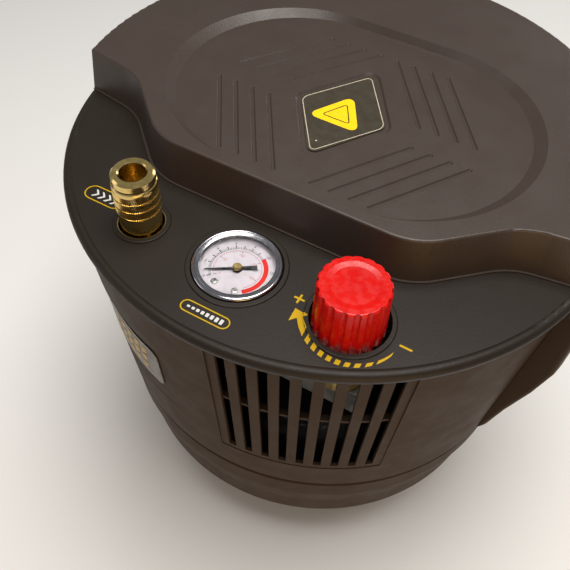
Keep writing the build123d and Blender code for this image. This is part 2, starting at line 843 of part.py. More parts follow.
with BuildPart() as check_valve:
    with BuildSketch(Plane.XY.offset(bung_top_z - 14)):
        with Locations(check_xy):
            Circle(bung_r - 0.05)
    extrude(amount=14)
    with BuildSketch(Plane.XY.offset(bung_top_z)):
        with Locations(check_xy):
            RegularPolygon(10, 6)
    extrude(amount=12)
    with BuildSketch(Plane.XY.offset(bung_top_z + 12)):
        with Locations(check_xy):
            Circle(8)
    extrude(amount=valve_top_z - bung_top_z - 12)
    with BuildSketch(Plane.XY.offset(valve_top_z)):
        with Locations(check_xy):
            Circle(3)
    extrude(amount=-60, mode=Mode.SUBTRACT)

with BuildPart() as manifold:
    with Locations((2, -125, (manifold_z[0] + manifold_z[1]) / 2)):
        Box(172, 26, manifold_z[1] - manifold_z[0])
    fillet(manifold.edges().filter_by(Axis.X), radius=2.5)
    with BuildSketch(Plane(origin=(88, -125, (manifold_z[0] + manifold_z[1]) / 2), z_dir=(1, 0, 0))):
        Circle(4)
    extrude(amount=-160, mode=Mode.SUBTRACT)

switch_x = (-84.0, -46.0)
with BuildPart() as pressure_switch:
    with Locations((sum(switch_x) / 2, -117, 229)):
        Box(38, 38, 46)
    fillet(pressure_switch.edges().filter_by(Axis.Z), radius=4)
    fillet(pressure_switch.edges().group_by(Axis.Z)[-1], radius=2)
    with BuildSketch(Plane.XY.offset(252)):
        with Locations((sum(switch_x) / 2, -120)):
            RegularPolygon(9, 6)
    extrude(amount=manifold_z[0] - 252)

with BuildPart() as unloader_tube:
    with BuildLine():
        unloader_line = FilletPolyline(
            (check_xy[0] - 8, check_xy[1], 186),
            (0, check_xy[1], 186),
            (-55, -70, 196),
            (-65, -80, 222),
            (-65, -98, 222),
            radius=7,
        )
    with BuildSketch(Plane(origin=(check_xy[0] - 8, check_xy[1], 186), z_dir=(-1, 0, 0))):
        Circle(2)
    sweep(path=unloader_line)

with BuildPart() as run_capacitor:
    with BuildSketch(Plane(origin=(-66, -30.5, deck_top + 14.2), z_dir=(1, 0, 0))):
        Circle(14)
    extrude(amount=62)
    fillet(run_capacitor.edges().filter_by(GeomType.CIRCLE), radius=2)

# ======== pressure gauge ========
case_r = 25.0
with BuildPart() as gauge_case:
    with BuildSketch(Plane.XY.offset(console_z - 26)):
        with Locations(gauge_xy):
            Circle(case_r)
    extrude(amount=26.2)
    with BuildSketch(Plane.XY.offset(console_z - 24.6)):
        with Locations(gauge_xy):
            Circle(case_r - 1.2)
    extrude(amount=26, mode=Mode.SUBTRACT)

    # brass socket brazed to the case's back
    with BuildSketch(Plane.XY.offset(manifold_z[1])):
        with Locations(gauge_xy):
            RegularPolygon(9, 6)
    extrude(amount=14)
    with BuildSketch(Plane.XY.offset(manifold_z[1] + 14)):
        with Locations(gauge_xy):
            Circle(6.5)
    extrude(amount=console_z - 26 - manifold_z[1] - 14)

with BuildPart() as bourdon_tube:
    tube_axis = Axis((gauge_xy[0], gauge_xy[1], 0), (0, 0, 1))
    tube_root = Plane(origin=(*gauge_xy, console_z - 17), x_dir=(1, 0, 0), z_dir=(0, -1, 0))
    with BuildSketch(tube_root):
        with Locations((15, 0)):
            Ellipse(1.4, 3.0)
    revolve(axis=tube_axis, revolution_arc=250)
    with Locations((gauge_xy[0] + 15, gauge_xy[1] - 3.5, console_z - 24.6)):
        Box(8, 7, 12, align=(Align.CENTER, Align.CENTER, Align.MIN))

with BuildPart() as gauge_movement:
    with BuildSketch(Plane.XY.offset(console_z - 13), Plane.XY.offset(console_z - 8)):
        with Locations(gauge_xy):
            RectangleRounded(18, 11, 2)
            Circle(0.9, mode=Mode.SUBTRACT)
    extrude(amount=0.9)
    with BuildSketch(Plane.XY.offset(console_z - 24.6)):
        with Locations((gauge_xy[0] - 7, gauge_xy[1]), (gauge_xy[0] + 7, gauge_xy[1])):
            Circle(1.4)
    extrude(amount=17)

dial_z = console_z - 4.0
with BuildPart() as gauge_dial:
    with BuildSketch(Plane.XY.offset(dial_z)):
        with Locations(gauge_xy):
            Circle(case_r - 1.3)
            Circle(1.3, mode=Mode.SUBTRACT)
    extrude(amount=0.6)

with BuildPart() as dial_screws:
    with BuildSketch(Plane.XY.offset(dial_z + 0.6)):
        with Locations((gauge_xy[0] - 6.7, gauge_xy[1] - 13.9), (gauge_xy[0] + 6.7, gauge_xy[1] - 13.9)):
            Circle(2.1)
    extrude(amount=0.6)

needle_z = dial_z + 1.5
needle_angle = 212.5  # the pointer rests on zero, at the dial's lower left
pointer_plane = Plane(
    origin=(gauge_xy[0], gauge_xy[1], needle_z),
    x_dir=(cos(radians(needle_angle)), sin(radians(needle_angle)), 0),
    z_dir=(0, 0, 1),
)
with BuildPart() as gauge_needle:
    with BuildSketch(pointer_plane):
        with BuildLine():
            Polyline((-11.3, 1.4), (2, 0.8), (19, 0.2), (19, -0.2), (2, -0.8), (-11.3, -1.4), close=True)
        make_face()
        Circle(3.0)
    extrude(amount=0.5)
    with BuildSketch(Plane.XY.offset(console_z - 14)):
        with Locations(gauge_xy):
            Circle(0.8)
    extrude(amount=needle_z - console_z + 15.2)

with BuildPart() as gauge_lens:
    with BuildSketch(Plane.XY.offset(console_z + 0.3)):
        with Locations(gauge_xy):
            Circle(case_r - 1.0)
    extrude(amount=1.2)
    fillet(gauge_lens.edges().group_by(Axis.Z)[-1], radius=0.5)

bezel_r = 26.2
with BuildPart() as gauge_bezel:
    with BuildSketch(meridian(90)) as bezel_section:
        with BuildLine():
            Polyline(
                (case_r + 0.1, console_z - 6),
                (bezel_r, console_z - 6),
                (bezel_r, console_z + 1.6),
                (bezel_r - 1.2, console_z + 2.6),
                (case_r - 2.0, console_z + 2.6),
                (21.8, console_z + 1.7),
                (case_r + 0.1, console_z + 1.7),
                close=True,
            )
        make_face()
        fillet(bezel_section.vertices().group_by(Axis.Y)[-1], radius=0.5)
    revolve(axis=Axis.Z)
gauge_bezel.part = gauge_bezel.part.moved(Location((gauge_xy[0], gauge_xy[1], 0)))

# ======== quick coupler ========
nose_top = console_z + 40.0
nose_r = 12.5
stem_r = 10.1
plug_bore_r = 7.75
flange_top = console_z - 11.0


def turned(at, *points):
    """A turned piece: the half section's points are (radius, height)."""
    with BuildSketch(Plane(origin=(at[0], at[1], 0), x_dir=(1, 0, 0), z_dir=(0, -1, 0))) as section:
        with BuildLine():
            Polyline(*points, close=True)
        make_face()
    return section.sketch


coupler_axis = Axis((coupler_xy[0], coupler_xy[1], 0), (0, 0, 1))
with BuildPart() as coupler_body:
    add(
        turned(
            coupler_xy,
            (3.0, manifold_z[1]),
            (9.0, manifold_z[1]),
            (9.0, flange_top - 9),
            (13.0, flange_top - 9),
            (13.0, flange_top),
            (stem_r, flange_top),
            (stem_r, nose_top - 5.5),
            (nose_r, nose_top - 5.0),
            (nose_r, nose_top - 1.2),
            (nose_r - 1.2, nose_top),
            (plug_bore_r + 0.8, nose_top),
            (plug_bore_r, nose_top - 0.8),
            (plug_bore_r, nose_top - 26),
            (6.0, nose_top - 26),
            (6.0, nose_top - 29),
            (7.0, nose_top - 29),
            (7.0, flange_top - 8),
            (3.0, flange_top - 8),
        )
    )
    revolve(axis=coupler_axis)

sleeve_foot = console_z - 6.0
sleeve_head = nose_top - 6.1
with BuildPart() as coupler_sleeve:
    add(
        turned(
            coupler_xy,
            (stem_r + 0.08, sleeve_head),
            (12.3, sleeve_head),
            (12.9, sleeve_head - 0.7),
            (13.25, sleeve_head - 2.2),
            (13.25, console_z + 14),
            (nose_r, console_z + 13),
            (nose_r, sleeve_foot + 0.4),
            (nose_r - 0.4, sleeve_foot),
            (11.7, sleeve_foot),
            (11.7, console_z + 17),
            (stem_r + 0.08, console_z + 17),
        )
    )
    revolve(axis=coupler_axis)


def coil(at, low, high, radius, wire, turns):
    """A compression spring of round wire between two heights."""
    with BuildPart() as spring:
        with BuildLine():
            path = Helix(
                pitch=(high - low - 2 * wire) / turns,
                height=high - low - 2 * wire,
                radius=radius,
                center=(at[0], at[1], low + wire),
            )
        with BuildSketch(Plane(origin=path @ 0, z_dir=path % 0)):
            Circle(wire)
        sweep(path=path, is_frenet=True)
    return spring.part


with BuildPart() as coupler_spring:
    add(coil(coupler_xy, flange_top + 0.1, console_z + 16.9, 10.9, 0.5, 6))

with BuildPart() as coupler_valve:
    add(
        turned(
            coupler_xy,
            (0, nose_top - 30.5),
            (4.4, nose_top - 26.6),
            (4.9, nose_top - 26.6),
            (4.9, nose_top - 29.4),
            (6.7, nose_top - 29.4),
            (6.7, nose_top - 38),
            (5.4, nose_top - 38),
            (5.4, nose_top - 34),
            (0, nose_top - 34),
        )
    )
    revolve(axis=coupler_axis)

with BuildPart() as valve_spring:
    add(coil(coupler_xy, flange_top - 7.9, nose_top - 38.1, 6.0, 0.45, 4))

# ======== pressure regulator ========
regulator_axis = Axis((knob_xy[0], knob_xy[1], 0), (0, 0, 1))
body_r = 16.0
bonnet_z = console_z - 30.0
with BuildPart() as regulator_body:
    with BuildSketch(Plane.XY.offset(manifold_z[1])):
        with Locations(knob_xy):
            Circle(body_r)
    extrude(amount=bonnet_z - manifold_z[1])
    fillet(regulator_body.edges().group_by(Axis.Z)[0], radius=2)

with BuildPart() as regulator_bonnet:
    add(
        turned(
            knob_xy,
            (10.2, bonnet_z),
            (body_r, bonnet_z),
            (body_r, bonnet_z + 6),
            (14.6, bonnet_z + 7),
            (14.6, console_z - 5),
            (11.0, console_z - 5),
            (11.0, console_z + 15),
            (4.35, console_z + 15),
            (4.35, console_z - 8),
            (10.2, console_z - 8),
        )
    )
    revolve(axis=regulator_axis)

seat_z = console_z - 13.0
with BuildPart() as spring_seat:
    add(turned(knob_xy, (4.06, seat_z), (9.9, seat_z), (9.9, seat_z + 3.5), (4.06, seat_z + 3.5)))
    revolve(axis=regulator_axis)

with BuildPart() as regulator_spring:
    add(coil(knob_xy, bonnet_z + 0.1, seat_z - 0.1, 7.4, 1.0, 3))

knob_foot = console_z - 4.4
knob_top = console_z + 30.0
knob_foot_r = 20.6
knob_lean = 1.5  # degrees; the side draws in towards the top
with BuildPart() as regulator_knob:
    with BuildSketch(Plane.XY.offset(knob_foot)):
        with Locations(knob_xy):
            Circle(knob_foot_r)
    extrude(amount=knob_top - knob_foot, taper=knob_lean)
    fillet(regulator_knob.edges().group_by(Axis.Z)[-1], radius=1.4)
    # the top face is very slightly dished
    with Locations((knob_xy[0], knob_xy[1], knob_top - 0.3)):
        Cone(12.4, 15.6, 0.6, mode=Mode.SUBTRACT)
    draw_in = tan(radians(knob_lean))
    for i in range(18):
        out_x = cos(radians(20 * i))
        out_y = sin(radians(20 * i))
        flute = Plane(
            origin=(
                knob_xy[0] + (knob_foot_r + 1.0) * out_x,
                knob_xy[1] + (knob_foot_r + 1.0) * out_y,
                knob_foot,
            ),
            z_dir=(-out_x * draw_in, -out_y * draw_in, 1),
        )
        with BuildSketch(flute):
            Circle(2.3)
        extrude(amount=knob_top - knob_foot + 2, both=True, mode=Mode.SUBTRACT)
    with BuildSketch(Plane.XY.offset(knob_foot)):
        with Locations(knob_xy):
            Circle(15.1)
    extrude(amount=console_z + 18 - knob_foot, mode=Mode.SUBTRACT)
    # the stem screws into the spring seat
    with BuildSketch(Plane.XY.offset(bonnet_z + 2)):
        with Locations(knob_xy):
            Circle(4.0)
    extrude(amount=console_z + 19 - bonnet_z - 2)

# ======== rear switch and cord gland ========
with BuildPart() as switch_frame:
    with BuildSketch(facing(switch_phi, pad_r, rear_z)):
        RectangleRounded(30, 38, 3)
    extrude(amount=2.2)
    with BuildSketch(facing(switch_phi, pad_r, rear_z)):
        Rectangle(24.6, 32.6)
    extrude(amount=-20)
    with BuildSketch(facing(switch_phi, pad_r + 3, rear_z)):
        Rectangle(20.8, 29.2)
    extrude(amount=-22, mode=Mode.SUBTRACT)

rocker_r = 14.2
rocker_centre_r = pad_r - 4.0
rocker_tilt = 8.0
rocker_plane = facing(switch_phi, rocker_centre_r, rear_z)
side_plane = Plane(origin=rocker_plane.origin, x_dir=rocker_plane.z_dir, z_dir=-rocker_plane.x_dir)
with BuildPart() as switch_rocker:
    with BuildSketch(side_plane):
        Circle(rocker_r)
        # two flats meeting at the middle: one pressed in, the other standing out
        with BuildLine():
            Polyline(
                (6.0, 0),
                (9.5, rocker_r + 1),
                (rocker_r + 2, rocker_r + 1),
                (rocker_r + 2, -rocker_r - 1),
                (6.5, -rocker_r - 1),
                close=True,
            )
        make_face(mode=Mode.SUBTRACT)
    extrude(amount=10, both=True)

with BuildPart() as cord_gland:
    with BuildSketch(facing(gland_phi, pad_r, rear_z)):
        RegularPolygon(12, 6)
    extrude(amount=5)
    with BuildSketch(facing(gland_phi, pad_r + 5, rear_z)):
        Circle(8.5)
    extrude(amount=4.5)
    with BuildSketch(facing(gland_phi, pad_r, rear_z)):
        Circle(8.0)
    extrude(amount=-14)
    with BuildSketch(facing(gland_phi, pad_r + 12, rear_z)):
        Circle(4.0)
    extrude(amount=-40, mode=Mode.SUBTRACT)

# ======== safety valve and drain valve ========
with BuildPart() as safety_valve:
    with BuildSketch(facing(safety_phi, tank_r - 4, safety_z)):
        Circle(4.95)
    extrude(amount=5.5)
    with BuildSketch(facing(safety_phi, tank_r + 1.5, safety_z)):
        RegularPolygon(8.4, 6)
    extrude(amount=7)
    with BuildSketch(facing(safety_phi, tank_r + 8.5, safety_z)):
        Circle(6.6)
    extrude(amount=14)
    with BuildSketch(facing(safety_phi, tank_r + 24, safety_z)):
        Circle(1.8)
    extrude(amount=-16, mode=Mode.SUBTRACT)

ring_r = 8.5
with BuildPart() as safety_ring:
    with BuildSketch(facing(safety_phi, tank_r + 9.5, safety_z)):
        Circle(1.4)
    extrude(amount=20.5)
    ring_middle = around(safety_phi, tank_r + 29.5 + ring_r, safety_z)
    with Locations(ring_middle):
        Torus(ring_r, 1.1)

drain_z = 17.0
with BuildPart() as drain_valve:
    with BuildSketch(Plane.XY.offset(drain_z)):
        with Locations((0, drain_y)):
            Circle(4.9)
    extrude(amount=20)
    with BuildSketch(Plane(origin=(0, drain_y - 8, drain_z), z_dir=(0, 1, 0))):
        RegularPolygon(8, 6)
    extrude(amount=26)
    with BuildSketch(Plane(origin=(0, drain_y + 19, drain_z), z_dir=(0, 1, 0))):
        Circle(3.1)
    extrude(amount=-14, mode=Mode.SUBTRACT)

with BuildPart() as drain_knob:
    with BuildSketch(Plane(origin=(0, drain_y + 6, drain_z), z_dir=(0, 1, 0))):
        Circle(3.04)
    extrude(amount=14)
    with BuildSketch(Plane(origin=(0, drain_y + 19, drain_z), z_dir=(0, 1, 0))):
        Circle(10)
        with PolarLocations(11, 8):
            Circle(2.2, mode=Mode.SUBTRACT)
    extrude(amount=11)

pieces = {
    "upper_shroud": upper_shroud,
    "lower_skirt": lower_skirt,
    "casing_screws": casing_screws,
    "console_cover": console_cover,
    "top_lid": top_lid,
    "lid_label": lid_label,
    "flank_badge": flank_badge,
    "side_grip_left": side_grip_left,
    "side_grip_right": side_grip_right,
    "air_tank": air_tank,
    "tank_brackets": tank_brackets,
    "rubber_feet": rubber_feet,
    "foot_bolts": foot_bolts,
    "vibration_mounts": vibration_mounts,
    "pump_deck": pump_deck,
    "motor_stator": motor_stator,
    "motor_end_cover": motor_end_cover,
    "shaft_bearings": shaft_bearings,
    "rotor_shaft": rotor_shaft,
    "cooling_fan": cooling_fan,
    "crankcase": crankcase,
    "crank": crank,
    "piston_rod": piston_rod,
    "pump_cylinder": pump_cylinder,
    "valve_plate": valve_plate,
    "cylinder_head": cylinder_head,
    "head_bolts": head_bolts,
    "intake_filter": intake_filter,
    "delivery_tube": delivery_tube,
    "supply_tube": supply_tube,
    "check_valve": check_valve,
    "manifold": manifold,
    "pressure_switch": pressure_switch,
    "unloader_tube": unloader_tube,
    "run_capacitor": run_capacitor,
    "gauge_case": gauge_case,
    "bourdon_tube": bourdon_tube,
    "gauge_movement": gauge_movement,
    "gauge_dial": gauge_dial,
    "dial_screws": dial_screws,
    "gauge_needle": gauge_needle,
    "gauge_lens": gauge_lens,
    "gauge_bezel": gauge_bezel,
    "coupler_body": coupler_body,
    "coupler_sleeve": coupler_sleeve,
    "coupler_spring": coupler_spring,
    "coupler_valve": coupler_valve,
    "valve_spring": valve_spring,
    "regulator_body": regulator_body,
    "regulator_bonnet": regulator_bonnet,
    "spring_seat": spring_seat,
    "regulator_spring": regulator_spring,
    "regulator_knob": regulator_knob,
    "switch_frame": switch_frame,
    "switch_rocker": switch_rocker,
    "cord_gland": cord_gland,
    "safety_valve": safety_valve,
    "safety_ring": safety_ring,
    "drain_valve": drain_valve,
    "drain_knob": drain_knob,
}

os.makedirs("parts", exist_ok=True)
for name, piece in pieces.items():
    piece.part.label = name
    export_step(piece.part, f"parts/{name}.step")
print(len(pieces), "pieces")
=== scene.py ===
import math

import bmesh
import bpy
from mathutils import Matrix, Vector


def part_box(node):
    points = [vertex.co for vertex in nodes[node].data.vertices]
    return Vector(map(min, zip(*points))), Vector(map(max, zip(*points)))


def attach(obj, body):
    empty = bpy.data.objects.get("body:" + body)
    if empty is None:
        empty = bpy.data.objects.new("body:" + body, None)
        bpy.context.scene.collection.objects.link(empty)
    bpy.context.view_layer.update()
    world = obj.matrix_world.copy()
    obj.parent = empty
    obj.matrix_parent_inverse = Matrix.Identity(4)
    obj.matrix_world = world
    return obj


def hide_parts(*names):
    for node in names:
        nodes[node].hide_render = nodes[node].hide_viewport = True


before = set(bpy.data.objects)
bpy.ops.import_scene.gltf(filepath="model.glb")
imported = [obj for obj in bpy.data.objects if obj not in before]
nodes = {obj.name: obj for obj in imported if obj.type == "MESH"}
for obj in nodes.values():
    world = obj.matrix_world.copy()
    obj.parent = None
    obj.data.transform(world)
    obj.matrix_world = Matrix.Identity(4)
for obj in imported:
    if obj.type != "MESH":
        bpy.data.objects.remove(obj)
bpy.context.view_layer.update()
MM = 0.001
scene = bpy.context.scene


# ---------------------------------------------------------------- places
def middle(node):
    """The middle of a CAD node's box."""
    low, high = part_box(node)
    return (low + high) / 2


def top_of(node):
    """The height of a CAD node's highest point."""
    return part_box(node)[1].z


gauge_axis = middle("gauge_bezel")
coupler_axis = middle("coupler_sleeve")
knob_axis = middle("regulator_knob")
knob_hole = knob_axis + Vector((0.7 * MM, 0.1 * MM, 0))  # the hole sits a little to the knob's right
label_axis = middle("lid_label")
ring_height = 1.0 * MM  # the raised rings round the console's holes
console_face = top_of("console_cover") - ring_height


# ---------------------------------------------------------------- materials
class Finish:
    """A node material in the making."""

    def __init__(self, name, color=(0.8, 0.8, 0.8), rough=0.5, metal=0.0):
        self.material = bpy.data.materials.new(name)
        self.material.use_nodes = True
        self.tree = self.material.node_tree
        self.shader = self.tree.nodes["Principled BSDF"]
        self.shader.inputs["Base Color"].default_value = (*color, 1)
        self.shader.inputs["Roughness"].default_value = rough
        self.shader.inputs["Metallic"].default_value = metal
        self.coords = self.tree.nodes.new("ShaderNodeTexCoord").outputs["Object"]
        self.last_bump = None

    def set(self, **sockets):
        """Gives the shader's own sockets their constants."""
        for name, value in sockets.items():
            self.shader.inputs[name.replace("_", " ")].default_value = value
        return self

    def link(self, a, b):
        self.tree.links.new(a, b)

    def stretched(self, scale):
        """Object coordinates, stretched along each axis."""
        node = self.tree.nodes.new("ShaderNodeMapping")
        node.vector_type = "TEXTURE"
        node.inputs["Scale"].default_value = [1 / s for s in scale]
        self.link(self.coords, node.inputs["Vector"])
        return node.outputs["Vector"]

    def noise(self, grain, detail=3.0, roughness=0.5, at=None):
        """Noise whose features are about grain metres across."""
        node = self.tree.nodes.new("ShaderNodeTexNoise")
        node.inputs["Scale"].default_value = 1 / grain
        node.inputs["Detail"].default_value = detail
        node.inputs["Roughness"].default_value = roughness
        self.link(at or self.coords, node.inputs["Vector"])
        return node.outputs["Fac"]

    def cells(self, grain):
        """Rounded cells about grain metres across."""
        node = self.tree.nodes.new("ShaderNodeTexVoronoi")
        node.inputs["Scale"].default_value = 1 / grain
        self.link(self.coords, node.inputs["Vector"])
        return node.outputs["Distance"]

    def spread(self, source, low, high, out_low=0.0, out_high=1.0):
        """Stretches a value from low..high to out_low..out_high."""
        node = self.tree.nodes.new("ShaderNodeMapRange")
        node.interpolation_type = "SMOOTHSTEP"
        for name, value in zip(("From Min", "From Max", "To Min", "To Max"), (low, high, out_low, out_high)):
            node.inputs[name].default_value = value
        self.link(source, node.inputs["Value"])
        return node.outputs["Result"]

    def blended(self, share, first, second):
        """A colour between two, by share."""
        node = self.tree.nodes.new("ShaderNodeMix")
        node.data_type = "RGBA"
        self.link(share, node.inputs["Factor"])
        for socket, value in ((node.inputs["A"], first), (node.inputs["B"], second)):
            if isinstance(value, tuple):
                socket.default_value = (*value, 1)
            else:
                self.link(value, socket)
        return node.outputs["Result"]

    def product(self, a, b):
        """Two values multiplied."""
        node = self.tree.nodes.new("ShaderNodeMath")
        node.operation = "MULTIPLY"
        self.link(a, node.inputs[0])
        self.link(b, node.inputs[1])
        return node.outputs["Value"]

    def color(self, source):
        self.link(source, self.shader.inputs["Base Color"])

    def rough(self, grain, detail, rough, roughness=0.5, low=0.3, high=0.7):
        """Roughness that drifts between two values."""
        self.link(self.spread(self.noise(grain, detail, roughness), low, high, *rough),
                  self.shader.inputs["Roughness"])

    def mottle(self, grain, detail, first, second, low=0.4, high=0.7, roughness=0.5):
        """A base colour that drifts between two tones."""
        self.color(self.blended(self.spread(self.noise(grain, detail, roughness), low, high), first, second))

    def bump(self, source, height, strength=1.0):
        """Adds relief of about height metres on top of any bump before it."""
        node = self.tree.nodes.new("ShaderNodeBump")
        node.inputs["Strength"].default_value = strength
        node.inputs["Distance"].default_value = height
        self.link(source, node.inputs["Height"])
        if self.last_bump:
            self.link(self.last_bump, node.inputs["Normal"])
        self.last_bump = node.outputs["Normal"]
        self.link(self.last_bump, self.shader.inputs["Normal"])


def moulded(name, tone, dusty, rough, shine):
    """Grained injection-moulded plastic with a little dust and handling shine."""
    grain, relief = 0.0011, 0.00012
    f = Finish(name).set(Specular_IOR_Level=shine)
    patches = f.spread(f.noise(0.09, 4.0, 0.55), 0.35, 0.7)
    specks = f.spread(f.noise(0.0009, 2.0, 0.7), 0.52, 0.72, 0.0, 0.55)
    body = f.blended(patches, tone, tuple(c * 1.06 for c in tone))
    f.color(f.blended(specks, body, dusty))
    f.rough(0.02, 4.0, rough, 0.6)
    f.bump(f.cells(grain), relief, 0.35)
    f.bump(f.noise(grain * 0.45, 2.0, 0.6), relief * 0.6, 0.4)
    return f.material


def turned_metal(name, tone, worn, rough):
    """Turned or plated metal: soft tarnish and fine tool marks in rings."""
    f = Finish(name, tone, rough[0], 1.0)
    f.mottle(0.006, 5.0, tone, worn, 0.42, 0.7, 0.6)
    f.rough(0.0022, 3.0, rough, 0.6, 0.3, 0.75)
    rings = f.stretched((0.04, 0.04, 1))
    f.bump(f.noise(0.0006, 2.0, 0.5, at=rings), 0.00002, 0.35)
    return f.material


def printed(name, tone):
    """Screen-printed ink with slightly uneven cover."""
    f = Finish(name, tone, 0.45).set(Specular_IOR_Level=0.15)
    thin = f.spread(f.noise(0.0012, 3.0, 0.7), 0.58, 0.8, 0.0, 0.5)
    f.color(f.blended(thin, tone, tuple(c * 0.55 for c in tone)))
    f.bump(f.noise(0.0008, 2.0, 0.6), 0.00004, 0.3)
    return f.material


casing = moulded("casing_plastic", (0.038, 0.0235, 0.0135), (0.052, 0.034, 0.021), (0.5, 0.6), 0.08)
console_plastic = moulded("console_plastic", (0.0145, 0.0105, 0.0073), (0.0215, 0.016, 0.0115),
                          (0.42, 0.5), 0.2)
lid_plastic = moulded("lid_plastic", (0.038, 0.0255, 0.0195), (0.051, 0.0355, 0.028), (0.38, 0.46), 0.4)
brass_bright = turned_metal("polished_brass", (0.80, 0.61, 0.24), (0.66, 0.48, 0.16), (0.13, 0.24))
brass_dull = turned_metal("plain_brass", (0.50, 0.36, 0.13), (0.30, 0.21, 0.08), (0.3, 0.5))
chrome = turned_metal("chrome_plate", (0.46, 0.45, 0.48), (0.38, 0.37, 0.39), (0.12, 0.2))
steel = turned_metal("zinc_plated_steel", (0.56, 0.56, 0.55), (0.40, 0.39, 0.36), (0.25, 0.42))
spring_steel = turned_metal("spring_wire", (0.34, 0.34, 0.34), (0.22, 0.20, 0.18), (0.25, 0.4))


def cast_alloy():
    """Die-cast alloy with a rough skin."""
    f = Finish("cast_alloy", (0.55, 0.55, 0.54), 0.5, 1.0)
    f.mottle(0.012, 5.0, (0.24, 0.24, 0.235), (0.17, 0.165, 0.16), 0.35)
    f.rough(0.004, 3.0, (0.42, 0.62))
    f.bump(f.noise(0.0014, 4.0, 0.6), 0.0002, 0.4)
    return f.material


def tank_enamel():
    """Black enamel over steel, with a faint orange-peel skin."""
    f = Finish("tank_enamel", (0.02, 0.02, 0.021), 0.3)
    f.set(Coat_Weight=0.3, Coat_Roughness=0.2)
    f.mottle(0.05, 4.0, (0.018, 0.018, 0.019), (0.03, 0.029, 0.028))
    f.rough(0.01, 3.0, (0.28, 0.42))
    f.bump(f.noise(0.0035, 2.0, 0.5), 0.00018, 0.3)
    return f.material


def soft_rubber():
    """Dull rubber with a dusty bloom."""
    f = Finish("moulded_rubber", (0.02, 0.02, 0.02), 0.75)
    f.mottle(0.006, 5.0, (0.016, 0.016, 0.016), (0.05, 0.048, 0.045), 0.45, 0.75)
    f.rough(0.003, 3.0, (0.68, 0.85))
    f.bump(f.noise(0.0009, 3.0, 0.6), 0.00012, 0.5)
    return f.material


def stator_iron():
    """A stack of thin iron sheets, seen as fine bands across the shaft."""
    sheets_per_metre = 320
    f = Finish("stator_iron", (0.3, 0.3, 0.3), 0.45, 1.0)
    sheets = f.tree.nodes.new("ShaderNodeTexWave")
    sheets.bands_direction = "X"
    sheets.inputs["Scale"].default_value = sheets_per_metre
    f.link(f.coords, sheets.inputs["Vector"])
    edge = sheets.outputs["Fac"]
    f.color(f.blended(f.spread(edge, 0.3, 0.7), (0.20, 0.19, 0.18), (0.36, 0.35, 0.34)))
    f.rough(0.004, 3.0, (0.4, 0.6))
    f.bump(edge, 0.0002, 0.6)
    return f.material


def plain_plastic(name, tone, rough=(0.35, 0.5)):
    """Smooth moulded plastic in one tone."""
    f = Finish(name, tone, rough[0])
    f.mottle(0.01, 4.0, tone, tuple(c * 1.4 + 0.004 for c in tone))
    f.rough(0.004, 3.0, rough)
    f.bump(f.noise(0.001, 2.0, 0.5), 0.00006, 0.35)
    return f.material


def red_knob_plastic():
    """Glossy red plastic, chipped pale round its foot."""
    knob_height = 34.4 * MM
    f = Finish("red_knob_plastic", (0.62, 0.004, 0.001), 0.3)
    f.set(Specular_IOR_Level=0.3, Subsurface_Weight=0.06, Subsurface_Radius=(0.004, 0.0006, 0.0004))
    deep = f.spread(f.noise(0.02, 3.0), 0.35, 0.7)
    red = f.blended(deep, (0.54, 0.003, 0.0005), (0.49, 0.002, 0.0005))
    place = f.tree.nodes.new("ShaderNodeSeparateXYZ")
    f.link(f.coords, place.inputs["Vector"])
    foot = top_of("regulator_knob") - knob_height
    near_foot = f.spread(place.outputs["Z"], foot + 1.5 * MM, foot + 7 * MM, 1.0, 0.0)
    chips = f.spread(f.noise(0.0026, 2.0, 0.4), 0.60, 0.66)
    f.color(f.blended(f.product(near_foot, chips), red, (0.75, 0.18, 0.13)))
    f.rough(0.0045, 3.0, (0.2, 0.38), 0.6, 0.35)
    f.bump(f.noise(0.003, 3.0, 0.5), 0.00008, 0.3)
    return f.material


def lens_glass():
    """Clear moulded lens with faint smears."""
    f = Finish("gauge_lens_clear", (1, 1, 1), 0.02)
    f.set(Transmission_Weight=1.0, IOR=1.25, Specular_IOR_Level=0.5)
    f.rough(0.008, 4.0, (0.01, 0.06), 0.5, 0.5, 0.8)
    return f.material


def dial_card():
    """Painted dial, a little uneven."""
    f = Finish("dial_card", (0.78, 0.79, 0.82), 0.45)
    f.mottle(0.004, 4.0, (0.62, 0.575, 0.62), (0.55, 0.515, 0.555), 0.4, 0.75)
    f.rough(0.001, 2.0, (0.38, 0.52))
    f.bump(f.noise(0.0006, 2.0), 0.00002, 0.2)
    return f.material


def foil(name, tone, shade, rough=(0.25, 0.4), metal=0.0):
    """Glossy label film over a slightly rippled adhesive."""
    f = Finish(name, tone, rough[0], metal)
    f.mottle(0.01, 4.0, tone, shade, 0.35, 0.7, 0.6)
    f.rough(0.006, 3.0, rough)
    f.bump(f.noise(0.006, 2.0, 0.5), 0.00012, 0.25)
    return f.material


